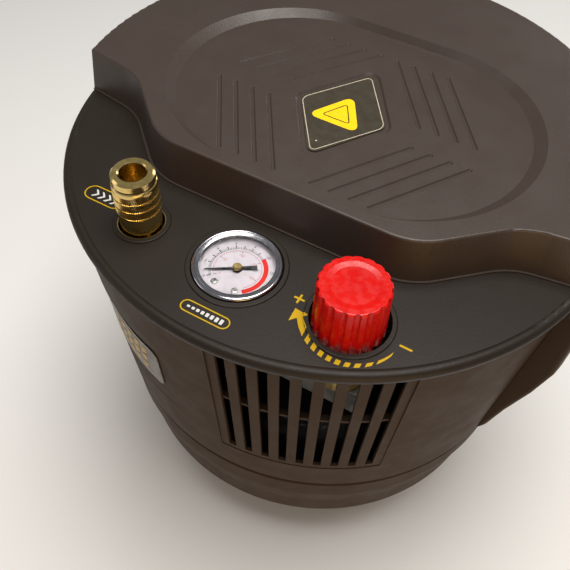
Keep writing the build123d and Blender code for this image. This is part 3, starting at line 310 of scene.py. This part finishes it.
ink_yellow = printed("yellow_ink", (0.46, 0.285, 0.002))
ink_light = printed("pale_ink", (0.55, 0.54, 0.52))
# black ink for print, also laid as painted shade in the dial screws' slots
ink_black_and_slot_shade = printed("black_ink_and_slot_shade", (0.012, 0.012, 0.014))
ink_red = printed("red_ink", (0.66, 0.02, 0.012))
ink_pink = printed("faded_red_ink", (0.55, 0.16, 0.22))
label_black = foil("label_film_dark", (0.034, 0.026, 0.015), (0.040, 0.031, 0.019))
label_yellow = foil("label_film_yellow", (0.84, 0.56, 0.0), (0.76, 0.50, 0.0))
label_edge = foil("label_film_edge", (0.48, 0.42, 0.32), (0.40, 0.35, 0.27))
badge_dark = foil("badge_film_dark", (0.035, 0.026, 0.016), (0.05, 0.038, 0.022))
badge_gold = foil("badge_film_gold", (0.40, 0.25, 0.025), (0.30, 0.18, 0.02), (0.35, 0.5), 0.25)
black_plastic = plain_plastic("black_fitting_plastic", (0.016, 0.016, 0.017))
fan_plastic = plain_plastic("fan_plastic", (0.03, 0.03, 0.032), (0.3, 0.45))
tube_black = plain_plastic("nylon_tube", (0.012, 0.012, 0.013), (0.3, 0.42))
needle_black = plain_plastic("pointer_lacquer", (0.01, 0.01, 0.011), (0.25, 0.35))
knob_red = red_knob_plastic()
alloy = cast_alloy()
enamel = tank_enamel()
rubber = soft_rubber()
stator = stator_iron()
lens = lens_glass()
card = dial_card()
rocker_red = plain_plastic("rocker_red", (0.45, 0.01, 0.008), (0.25, 0.4))

finishes = {
    casing: ("upper_shroud", "lower_skirt", "side_grip_left", "side_grip_right"),
    console_plastic: ("console_cover",),
    lid_plastic: ("top_lid",),
    brass_bright: ("coupler_body", "coupler_sleeve", "coupler_valve"),
    brass_dull: ("bourdon_tube", "gauge_movement", "check_valve", "regulator_body", "supply_tube",
                 "safety_valve", "drain_valve"),
    chrome: ("gauge_bezel",),
    steel: ("casing_screws", "foot_bolts", "pump_deck", "shaft_bearings", "rotor_shaft", "crank",
            "head_bolts", "valve_plate", "gauge_case", "dial_screws", "spring_seat", "safety_ring"),
    spring_steel: ("coupler_spring", "valve_spring", "regulator_spring"),
    alloy: ("crankcase", "pump_cylinder", "cylinder_head", "delivery_tube", "manifold", "motor_end_cover",
            "piston_rod", "run_capacitor"),
    enamel: ("air_tank", "tank_brackets"),
    rubber: ("rubber_feet", "vibration_mounts"),
    stator: ("motor_stator",),
    black_plastic: ("regulator_bonnet", "pressure_switch", "intake_filter", "switch_frame", "cord_gland",
                    "drain_knob"),
    fan_plastic: ("cooling_fan",),
    tube_black: ("unloader_tube",),
    needle_black: ("gauge_needle",),
    knob_red: ("regulator_knob",),
    rocker_red: ("switch_rocker",),
    lens: ("gauge_lens",),
    card: ("gauge_dial",),
    label_black: ("lid_label",),
    badge_dark: ("flank_badge",),
}
for finish, members in finishes.items():
    for node in members:
        for slot in nodes[node].material_slots:
            slot.material = finish


# ---------------------------------------------------------------- making pieces
def piece(name, mesh, finish, body="housing", smooth=None):
    """Turns a bmesh into a finished piece that rides on a body."""
    bmesh.ops.remove_doubles(mesh, verts=mesh.verts, dist=1e-7)
    bmesh.ops.recalc_face_normals(mesh, faces=mesh.faces)
    data = bpy.data.meshes.new(name)
    mesh.to_mesh(data)
    mesh.free()
    made = bpy.data.objects.new(name, data)
    scene.collection.objects.link(made)
    data.materials.append(finish)
    if smooth:
        data.shade_smooth()
        data.set_sharp_from_angle(angle=math.radians(smooth))
    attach(made, body)
    return made


def add_block(mesh, size, place):
    """A block of size, put in place by a matrix."""
    bmesh.ops.create_cube(mesh, size=1.0, matrix=place @ Matrix.Diagonal((*size, 1)))


def add_ring_arc(mesh, centre, inner, outer, start, sweep, z, thick, steps):
    """Part of a flat ring, spun about centre; angles in degrees."""
    low = [mesh.verts.new((centre.x + r, centre.y, z)) for r in (inner, outer)]
    high = [mesh.verts.new((centre.x + r, centre.y, z + thick)) for r in (outer, inner)]
    face = mesh.faces.new(low + high)
    pivot = Vector((centre.x, centre.y, z))
    bmesh.ops.rotate(mesh, verts=face.verts, cent=pivot, matrix=Matrix.Rotation(math.radians(start), 3, "Z"))
    bmesh.ops.spin(mesh, geom=[face], cent=pivot, axis=(0, 0, 1), angle=math.radians(sweep), steps=steps)


def rounded_face(mesh, corners, radius, z, segments=5):
    """A flat face on the given corners, rounded by radius; corners run anticlockwise."""
    face = mesh.faces.new([mesh.verts.new((x, y, z)) for x, y in corners])
    before = set(mesh.faces) - {face}
    if radius:
        bmesh.ops.bevel(mesh, geom=face.verts[:], offset=radius, offset_type="OFFSET", segments=segments,
                        profile=0.5, affect="VERTICES", material=-1, clamp_overlap=True)
    return [f for f in mesh.faces if f not in before]


def raise_faces(mesh, faces, thick):
    """Gives flat faces their thickness."""
    grown = bmesh.ops.extrude_face_region(mesh, geom=faces)
    bmesh.ops.translate(mesh, verts=[v for v in grown["geom"] if isinstance(v, bmesh.types.BMVert)],
                        vec=(0, 0, thick))


def add_outline(mesh, corners, radius, z, line, thick, segments=5):
    """A printed line that follows a rounded outline on its inside."""
    faces = rounded_face(mesh, corners, radius, z, segments)
    mesh.normal_update()
    ring = bmesh.ops.inset_region(mesh, faces=faces, thickness=line, use_boundary=True,
                                  use_even_offset=True)["faces"]
    bmesh.ops.delete(mesh, geom=faces, context="FACES")
    raise_faces(mesh, ring, thick)


def box_corners(centre, half_x, half_y):
    """The corners of an upright box, anticlockwise."""
    cx, cy = centre
    return [(cx - half_x, cy - half_y), (cx + half_x, cy - half_y), (cx + half_x, cy + half_y),
            (cx - half_x, cy + half_y)]


def add_text(mesh, words, height, place, thick):
    """Upright figures, centred on place."""
    font = bpy.data.curves.new("figures", "FONT")
    font.body = words
    font.size = height
    font.align_x = "CENTER"
    font.align_y = "CENTER"
    font.extrude = thick / 2
    font.resolution_u = 3
    holder = bpy.data.objects.new("figures", font)
    data = bpy.data.meshes.new_from_object(holder)
    data.transform(place)
    mesh.from_mesh(data)
    bpy.data.objects.remove(holder)
    bpy.data.curves.remove(font)
    bpy.data.meshes.remove(data)


def polar(centre, degrees, radius):
    """A point round a centre, in the plane of the console."""
    return (centre.x + radius * math.cos(math.radians(degrees)),
            centre.y + radius * math.sin(math.radians(degrees)))


def turned_part(name, centre, section, finish, body, steps=72, smooth=35):
    """A lathe-turned piece: section is its closed outline in (radius, height)."""
    mesh = bmesh.new()
    outline = [mesh.verts.new((centre.x + r, centre.y, z)) for r, z in section]
    edges = [mesh.edges.new((a, b)) for a, b in zip(outline, outline[1:] + outline[:1])]
    bmesh.ops.spin(mesh, geom=outline + edges, cent=(centre.x, centre.y, 0), axis=(0, 0, 1),
                   angle=math.tau, steps=steps, use_merge=True)
    return piece(name, mesh, finish, body, smooth)


INK = 0.09 * MM  # how far print stands over the surface under it
SUNK = 0.03 * MM  # how far print reaches into it


# ---------------------------------------------------------------- the regulator's turning mark
def ring_rise(reach):
    """How far the raised ring round the knob's hole stands over the console, by distance from its axis."""
    ring, edge = 25.6 * MM, 0.8 * MM
    if reach >= ring:
        return 0.0
    into = max(reach - (ring - edge), 0.0)
    return ring_height - edge + math.sqrt(edge * edge - into * into)


def build_knob_mark():
    """A crescent of stripes that grows into an arrow, between a plus and a minus sign."""
    mesh = bmesh.new()
    # the crescent lies between two circles: centre and radius of each
    outer = (knob_hole.x + 1.5 * MM, knob_hole.y - 0.9 * MM, 28.6 * MM)
    inner = (knob_hole.x + 2.4 * MM, knob_hole.y + 1.3 * MM, 27.6 * MM)

    def arc_y(circle, x):
        """Where a circle's near side passes x."""
        cx, cy, r = circle
        return cy - math.sqrt(max(r * r - (x - cx) ** 2, 0))

    first, pitch, stripe = knob_hole.x - 14.95 * MM, 4.93 * MM, 2.75 * MM
    spans = [(first + pitch * i, first + pitch * i + stripe) for i in range(8)]
    spans.append((first + pitch * 8 - 0.5 * MM, first + pitch * 8 + 4.2 * MM))
    for low_x, high_x in spans:
        for v in bmesh.ops.create_grid(mesh, x_segments=4, y_segments=1, size=0.5)["verts"]:
            x = low_x + (v.co.x + 0.5) * (high_x - low_x)
            v.co = (x, arc_y(inner if v.co.y > 0 else outer, x), 0)

    def add_shape(points, centre=(0, 0)):
        """A flat shape, in millimetres from the middle of the hole."""
        return mesh.faces.new([mesh.verts.new((knob_hole.x + centre[0] * MM + x * MM,
                                               knob_hole.y + centre[1] * MM + y * MM, 0)) for x, y in points])

    # the arrow's head and tail, the plus, the minus
    add_shape([(-28.9, -8.6), (-28.3, -17.7), (-25.2, -13.9), (-21.6, -18.6), (-17.2, -22.8), (-17.6, -17.2),
               (-20.2, -14.7), (-22.5, -12.0), (-20.4, -9.6)])
    arm, half = 3.2, 0.62
    add_shape([(-arm, -half), (-half, -half), (-half, -arm), (half, -arm), (half, -half), (arm, -half),
               (arm, half), (half, half), (half, arm), (-half, arm), (-half, half), (-arm, half)],
              (-30.1, -2.0))
    add_shape([(-3.6, -half), (3.6, -half), (3.6, half), (-3.6, half)], (33.2, -1.6))
    bmesh.ops.recalc_face_normals(mesh, faces=mesh.faces)
    # the print follows the raised ring, so it is cut finely before it is laid down
    longest, cuts = 0.8 * MM, 5
    bmesh.ops.triangulate(mesh, faces=mesh.faces)
    for _ in range(cuts):
        long = [e for e in mesh.edges if e.calc_length() > longest]
        bmesh.ops.subdivide_edges(mesh, edges=long, cuts=1)
        bmesh.ops.triangulate(mesh, faces=mesh.faces)
    hole = 22.9 * MM  # the print stops just outside the hole
    for v in mesh.verts:
        out = Vector((v.co.x - knob_hole.x, v.co.y - knob_hole.y, 0))
        reach = max(out.length, hole)
        out *= reach / out.length
        v.co = (knob_hole.x + out.x, knob_hole.y + out.y, console_face - SUNK + ring_rise(reach))
    raise_faces(mesh, mesh.faces[:], INK + SUNK)
    piece("turning_mark", mesh, ink_yellow)


# ---------------------------------------------------------------- plain signs beside gauge and coupler
def build_signs():
    """A level sign for the gauge and a direction sign for the coupler, each in a rounded outline."""
    base, thick, line = console_face - SUNK, INK + SUNK, 0.75 * MM
    gauge_sign = (gauge_axis.x + 2.9 * MM, gauge_axis.y - 37.3 * MM)
    coupler_sign = (coupler_axis.x - 31.6 * MM, coupler_axis.y + 4.8 * MM)
    mesh = bmesh.new()
    add_outline(mesh, box_corners(gauge_sign, 15.4 * MM, 4.0 * MM), 3.9 * MM, base, line, thick)
    add_outline(mesh, box_corners(coupler_sign, 13.9 * MM, 5.8 * MM), 5.7 * MM, base, line, thick)
    piece("sign_outlines", mesh, ink_yellow)
    mesh = bmesh.new()
    # a row of bars that grow, for a level
    bars, pitch, half_width = 8, 3.0 * MM, 0.95 * MM
    for i in range(bars):
        half_height = (0.7 + 0.14 * i) * MM
        x = gauge_sign[0] + (i - (bars - 1) / 2) * pitch
        corners = box_corners((x, gauge_sign[1]), half_width, half_height)
        raise_faces(mesh, rounded_face(mesh, corners, 0.4 * MM, base, 2), thick)
    # chevrons that lead to the coupler
    tip, wing, stroke = 2.6 * MM, 2.9 * MM, 1.5 * MM
    y = coupler_sign[1]
    for i in range(4):
        x = coupler_sign[0] + (i * 4.6 - 8.2) * MM
        shape = [(x, y + wing), (x + tip, y), (x, y - wing), (x + stroke, y - wing), (x + tip + stroke, y),
                 (x + stroke, y + wing)]
        raise_faces(mesh, rounded_face(mesh, shape, 0, base), thick)
    piece("sign_fills", mesh, ink_light)


# ---------------------------------------------------------------- gauge dial
ZERO = 225.0  # degrees, where the scale starts
PER_BAR = 16.875  # degrees
FULL, RED_FROM = 16, 10  # bar
SWEEP = PER_BAR * FULL
INNER_FULL = 232  # the inner scale's reading at the outer scale's end


def build_dial():
    """Two plain scales with their figures, and a red band at the top end."""
    face = top_of("gauge_dial")
    base, thick = face - 0.02 * MM, 0.06 * MM
    black, red, pink = bmesh.new(), bmesh.new(), bmesh.new()

    def tick(mesh, degrees, inner, outer, width):
        x, y = polar(gauge_axis, degrees, (inner + outer) / 2)
        place = Matrix.Translation((x, y, base + thick / 2)) @ Matrix.Rotation(math.radians(degrees), 4, "Z")
        add_block(mesh, (outer - inner, width, thick), place)

    def figures(mesh, words, degrees, radius, height):
        x, y = polar(gauge_axis, degrees, radius)
        add_text(mesh, words, height, Matrix.Translation((x, y, base + thick / 2)), thick)

    parts = 5  # ticks to a bar
    for step in range(parts * RED_FROM + 1):
        outer, width = (18.0, 0.55) if step % parts == 0 else (16.8, 0.26)
        tick(black, ZERO - PER_BAR * step / parts, 15.7 * MM, outer * MM, width * MM)
    add_ring_arc(black, gauge_axis, 15.35 * MM, 15.55 * MM, ZERO - SWEEP, SWEEP, base, thick, 60)
    end = ZERO - SWEEP - 5
    add_ring_arc(red, gauge_axis, 15.0 * MM, 17.7 * MM, end, ZERO - PER_BAR * RED_FROM - end,
                 base + 0.01 * MM, thick, 40)
    add_ring_arc(pink, gauge_axis, 13.9 * MM, 14.1 * MM, ZERO - SWEEP, SWEEP, base, thick, 60)
    for reading in range(0, INNER_FULL, 5):
        degrees = ZERO - SWEEP * reading / INNER_FULL
        if reading % 50 == 0:
            tick(black, degrees, 12.2 * MM, 13.9 * MM, 0.32 * MM)
        else:
            tick(pink, degrees, 13.2 * MM, 13.9 * MM, 0.2 * MM)
    for bar in range(0, FULL + 1, 2):
        figures(black, str(bar), ZERO - PER_BAR * bar, 19.6 * MM, 2.5 * MM)
    for reading in range(0, INNER_FULL, 50):
        figures(pink, str(reading), ZERO - SWEEP * reading / INNER_FULL, 10.4 * MM, 2.2 * MM)
    piece("dial_scale", black, ink_black_and_slot_shade)
    piece("dial_red_band", red, ink_red)
    piece("dial_inner_scale", pink, ink_pink)


def build_dial_screws():
    """Domed slotted screws that hold the dial; each slot is a thin black sheet on the head, painted shade
    where the slot's recess would be.
    """
    low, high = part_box("dial_screws")
    r, rise = (high.y - low.y) / 2, high.z - low.z
    y = (low.y + high.y) / 2
    spots = ((-1, low.x + r), (1, high.x - r))
    mesh = bmesh.new()
    for _, x in spots:
        rod = bmesh.ops.create_cone(mesh, cap_ends=True, segments=28, radius1=r, radius2=r, depth=rise,
                                    matrix=Matrix.Translation((x, y, low.z + rise / 2)))["verts"]
        crown = [e for e in mesh.edges if all(v in rod and v.co.z > low.z + rise * 0.9 for v in e.verts)]
        bmesh.ops.bevel(mesh, geom=crown, offset=rise * 0.75, segments=4, profile=0.5, affect="EDGES",
                        material=-1)
    screws = piece("dial_screw_heads", mesh, steel, smooth=40)
    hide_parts("dial_screws")
    # each slot is a thin black sheet laid on the head: painted shade in place of a cut recess
    slot_shade = bmesh.new()
    for side, x in spots:
        turn = Matrix.Rotation(math.radians(35 - 50 * side), 4, "Z")
        add_block(slot_shade, (1.5 * r, 0.45 * MM, 0.05 * MM), Matrix.Translation((x, y, high.z)) @ turn)
    piece("dial_screw_slot_shade", slot_shade, ink_black_and_slot_shade)


def build_pointer_boss():
    """The brass boss that the pointer is pressed onto."""
    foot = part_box("gauge_needle")[1].z - 0.2 * MM
    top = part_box("gauge_lens")[0].z - 0.4 * MM
    mid = Vector((gauge_axis.x, gauge_axis.y, 0))
    r = 2.75 * MM
    section = [(0.0, foot), (r, foot), (r, top - 0.7 * MM), (r * 0.93, top - 0.3 * MM), (r * 0.78, top),
               (0.0, top)]
    turned_part("pointer_boss", mid, section, brass_dull, "needle", 48)


# ---------------------------------------------------------------- gauge bezel
def build_bezel():
    """A rolled bezel: a rounded bead outside, a fine groove, and a sloping lip over the lens."""
    low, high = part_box("gauge_bezel")
    outer = (high.x - low.x) / 2
    foot, top = low.z, high.z
    case, lip = 25.1 * MM, 21.8 * MM
    over_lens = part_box("gauge_lens")[1].z + 0.25 * MM
    section = [(case, foot), (outer, foot), (outer, top - 2.6 * MM)]
    bead, steps = 1.45 * MM, 8
    for step in range(1, steps + 1):
        a = math.radians(90 * step / steps)
        section.append((outer - bead + bead * math.cos(a), top - bead + bead * math.sin(a)))
    section += [(outer - bead - 0.35 * MM, top - 0.08 * MM), (outer - bead - 0.6 * MM, top - 0.4 * MM),
                (outer - bead - 0.75 * MM, top - 0.42 * MM), (outer - bead - 1.0 * MM, top - 0.2 * MM),
                (lip + 0.6 * MM, over_lens + 0.45 * MM), (lip, over_lens + 0.2 * MM), (lip, over_lens),
                (case, over_lens)]
    bezel = turned_part("rolled_bezel", gauge_axis, section, chrome, "housing", 128, 40)
    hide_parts("gauge_bezel")


# ---------------------------------------------------------------- coupler collar
def build_collar():
    """The sliding collar: three knurled bands with bright lands between them."""
    low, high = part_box("coupler_sleeve")
    axis = Vector((coupler_axis.x, coupler_axis.y, 0))
    bore, land, root, barrel = 10.18 * MM, 13.2 * MM, 12.6 * MM, 12.45 * MM
    foot, head = low.z, high.z
    step = foot + 20 * MM  # the shoulder over the plain barrel
    bands = [(step + 0.2 * MM, step + 5.3 * MM), (step + 6.1 * MM, step + 11.2 * MM),
             (step + 12.0 * MM, step + 17.0 * MM)]
    section = [(bore, head), (12.3 * MM, head), (12.9 * MM, head - 0.5 * MM), (land, head - 1.6 * MM)]
    for bottom, top in reversed(bands):
        section += [(land, top), (root, top - 0.15 * MM), (root, bottom + 0.15 * MM), (land, bottom)]
    section += [(barrel, step - 1.0 * MM), (barrel, foot + 0.4 * MM), (barrel - 0.4 * MM, foot),
                (11.7 * MM, foot), (11.7 * MM, foot + 23 * MM), (bore, foot + 23 * MM)]
    collar = turned_part("coupler_collar_ring", axis, section, brass_bright, "coupler_collar",
                         96, 30)
    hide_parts("coupler_sleeve")
    # each tooth is a thin leaning bar, set on edge and sunk into the root of its band
    mesh = bmesh.new()
    teeth, tooth, proud = 64, 0.64 * MM, 0.16 * MM
    stance = Matrix.Rotation(math.radians(9), 4, "X") @ Matrix.Rotation(math.pi / 4, 4, "Z")
    for bottom, top in bands:
        out = Matrix.Translation((root + proud, 0, (bottom + top) / 2))
        for i in range(teeth):
            around = Matrix.Rotation(math.tau * i / teeth, 4, "Z")
            add_block(mesh, (tooth, tooth, top - bottom - 0.3 * MM),
                      Matrix.Translation(axis) @ around @ out @ stance)
    piece("collar_knurl", mesh, brass_bright, "coupler_collar")


def build_hole_trim():
    """A bright metal liner in the coupler's hole."""
    inner, outer = 13.75 * MM, 14.4 * MM
    low, high = console_face - 2.5 * MM, console_face + 0.55 * MM
    section = [(inner, low), (outer, low), (outer, high), (inner + 0.2 * MM, high), (inner, high - 0.2 * MM)]
    turned_part("coupler_hole_trim", coupler_axis, section, brass_bright, "housing", 96, 30)


# ---------------------------------------------------------------- lid label
def build_label():
    """A thin pale border, a plain yellow triangle with a line inside it, and a dot."""
    low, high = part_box("lid_label")
    base, thick = high.z - SUNK, INK + SUNK
    share = 1.02  # the border's true points lie a little outside the plate's rounded corners
    reach_x, reach_y = share * (high.x - low.x) / 2, share * (high.y - low.y) / 2
    cx, cy = label_axis.x, label_axis.y
    mesh = bmesh.new()
    corners = [(cx, cy - reach_y), (cx + reach_x, cy), (cx, cy + reach_y), (cx - reach_x, cy)]
    add_outline(mesh, corners, 4.6 * MM, base, 0.55 * MM, thick, 6)
    piece("label_border", mesh, label_edge)
    centre = Vector((cx - 0.7 * MM, cy - 2.9 * MM, 0))
    point, inner_share, corners_at = 21.1 * MM, 0.56, (210, 330, 90)
    mesh = bmesh.new()
    corners = [polar(centre, a, point) for a in corners_at]
    raise_faces(mesh, rounded_face(mesh, corners, 7.5 * MM, base, 8), thick)
    piece("label_triangle", mesh, label_yellow)
    mesh = bmesh.new()
    corners = [polar(centre, a, point * inner_share) for a in corners_at]
    add_outline(mesh, corners, 3.0 * MM, base + INK, 0.7 * MM, 0.04 * MM + SUNK, 5)
    piece("label_triangle_line", mesh, ink_black_and_slot_shade)
    mesh = bmesh.new()
    bmesh.ops.create_circle(mesh, cap_ends=True, segments=16, radius=0.6 * MM,
                            matrix=Matrix.Translation((cx - 1.4 * MM, cy - 33.1 * MM, base)))
    raise_faces(mesh, mesh.faces[:], thick)
    piece("label_dot", mesh, label_edge)


# ---------------------------------------------------------------- flank badge
def build_badge():
    """Slanted gold bars on the badge, a plain pattern of the maker's own."""
    low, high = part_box("flank_badge")
    mesh = bmesh.new()
    width, height, lean = 4.6 * MM, 8.6 * MM, 2.4 * MM
    across, step_up, shift = 8.2 * MM, 11.4 * MM, 1.8 * MM
    slant = Matrix(((width, lean, 0, 0), (0, height, 0, 0), (0, 0, 1, 0), (0, 0, 0, 1)))
    for row in (-1, 0, 1):
        for i in range(-2, 3):
            place = Matrix.Translation((i * across + row * shift, row * step_up, 0))
            bmesh.ops.create_grid(mesh, x_segments=4, y_segments=1, size=0.5, matrix=place @ slant)
    raise_faces(mesh, mesh.faces[:], 0.25 * MM)
    wall, taper = badge_wall(low, high)
    mid_z = (low.z + high.z) / 2
    mid_phi = math.radians(-23.25)
    # x runs round the wall, y runs up it and z stands out from it
    for v in mesh.verts:
        r = wall + taper * v.co.y + v.co.z
        phi = mid_phi + v.co.x / wall
        v.co = (r * math.sin(phi), -r * math.cos(phi), mid_z + v.co.y)
    piece("badge_bars", mesh, badge_gold)


def badge_wall(low, high):
    """The badge's outer radius at mid height, and how it grows with height."""
    edge = 0.5 * MM
    reach = [(v.co.z, math.hypot(v.co.x, v.co.y)) for v in nodes["flank_badge"].data.vertices]
    top_r = max(r for z, r in reach if z > high.z - edge)
    low_r = max(r for z, r in reach if z < low.z + edge)
    return (top_r + low_r) / 2 - SUNK, (top_r - low_r) / (high.z - low.z)


build_knob_mark()
build_signs()
build_dial()
build_dial_screws()
build_pointer_boss()
build_bezel()
build_collar()
build_hole_trim()
build_label()
build_badge()


# ---------------------------------------------------------------- studio
def build_studio():
    """A pale floor, a soft sky and four softboxes."""
    mesh = bmesh.new()
    bmesh.ops.create_grid(mesh, x_segments=1, y_segments=1, size=6.0)
    data = bpy.data.meshes.new("floor")
    mesh.to_mesh(data)
    mesh.free()
    floor = bpy.data.objects.new("floor", data)
    scene.collection.objects.link(floor)
    pale = Finish("pale_floor", (0.78, 0.77, 0.75), 0.7)
    data.materials.append(pale.material)

    world = bpy.data.worlds.new("studio")
    scene.world = world
    world.use_nodes = True
    sky = world.node_tree.nodes["Background"]
    sky.inputs["Color"].default_value = (0.95, 0.97, 1.0, 1)
    sky.inputs["Strength"].default_value = 0.24

    aim = Vector((0, -0.03, 0.3))
    # name, place, size, power in watts, tint
    softboxes = (
        ("overhead", (0.1, 0.0, 1.6), (1.0, 0.8), 26, (1.0, 0.97, 0.93)),
        ("back_strip", (0.6, 1.6, 0.62), (1.4, 0.25), 5, (1.0, 0.98, 0.96)),
        ("left_fill", (-1.3, -0.9, 0.6), (0.7, 0.9), 2.2, (1.0, 0.9, 0.88)),
        ("right_warm", (0.9, -1.1, 0.3), (0.8, 0.6), 6, (1.0, 0.56, 0.12)),
    )
    for name, place, size, power, tint in softboxes:
        lamp = bpy.data.lights.new(name, "AREA")
        lamp.shape = "RECTANGLE"
        lamp.size, lamp.size_y = size
        lamp.energy = power
        lamp.color = tint
        holder = bpy.data.objects.new(name, lamp)
        holder.location = place
        holder.rotation_euler = (aim - Vector(place)).to_track_quat("-Z", "Y").to_euler()
        scene.collection.objects.link(holder)
    scene.view_settings.view_transform = "Standard"


def build_camera():
    """Over the console, from the front right, with a slight roll."""
    place = (0.13617, -0.33276, 0.63684)
    yaw, pitch, roll = (math.radians(a) for a in (27.4, 51.95, 2.85))
    back = Vector((math.sin(yaw) * math.cos(pitch), -math.cos(yaw) * math.cos(pitch), math.sin(pitch)))
    level = (-back).cross(Vector((0, 0, 1))).normalized()
    rise = level.cross(-back)
    right = level * math.cos(roll) + rise * math.sin(roll)
    up = rise * math.cos(roll) - level * math.sin(roll)
    lens_data = bpy.data.cameras.new("camera")
    lens_data.lens = 43.58
    lens_data.sensor_width = 36.0
    lens_data.clip_start = 0.01
    camera = bpy.data.objects.new("camera", lens_data)
    turn = Matrix((right, up, back)).transposed()
    camera.matrix_world = Matrix.Translation(place) @ turn.to_4x4()
    scene.collection.objects.link(camera)
    scene.camera = camera


build_studio()
build_camera()
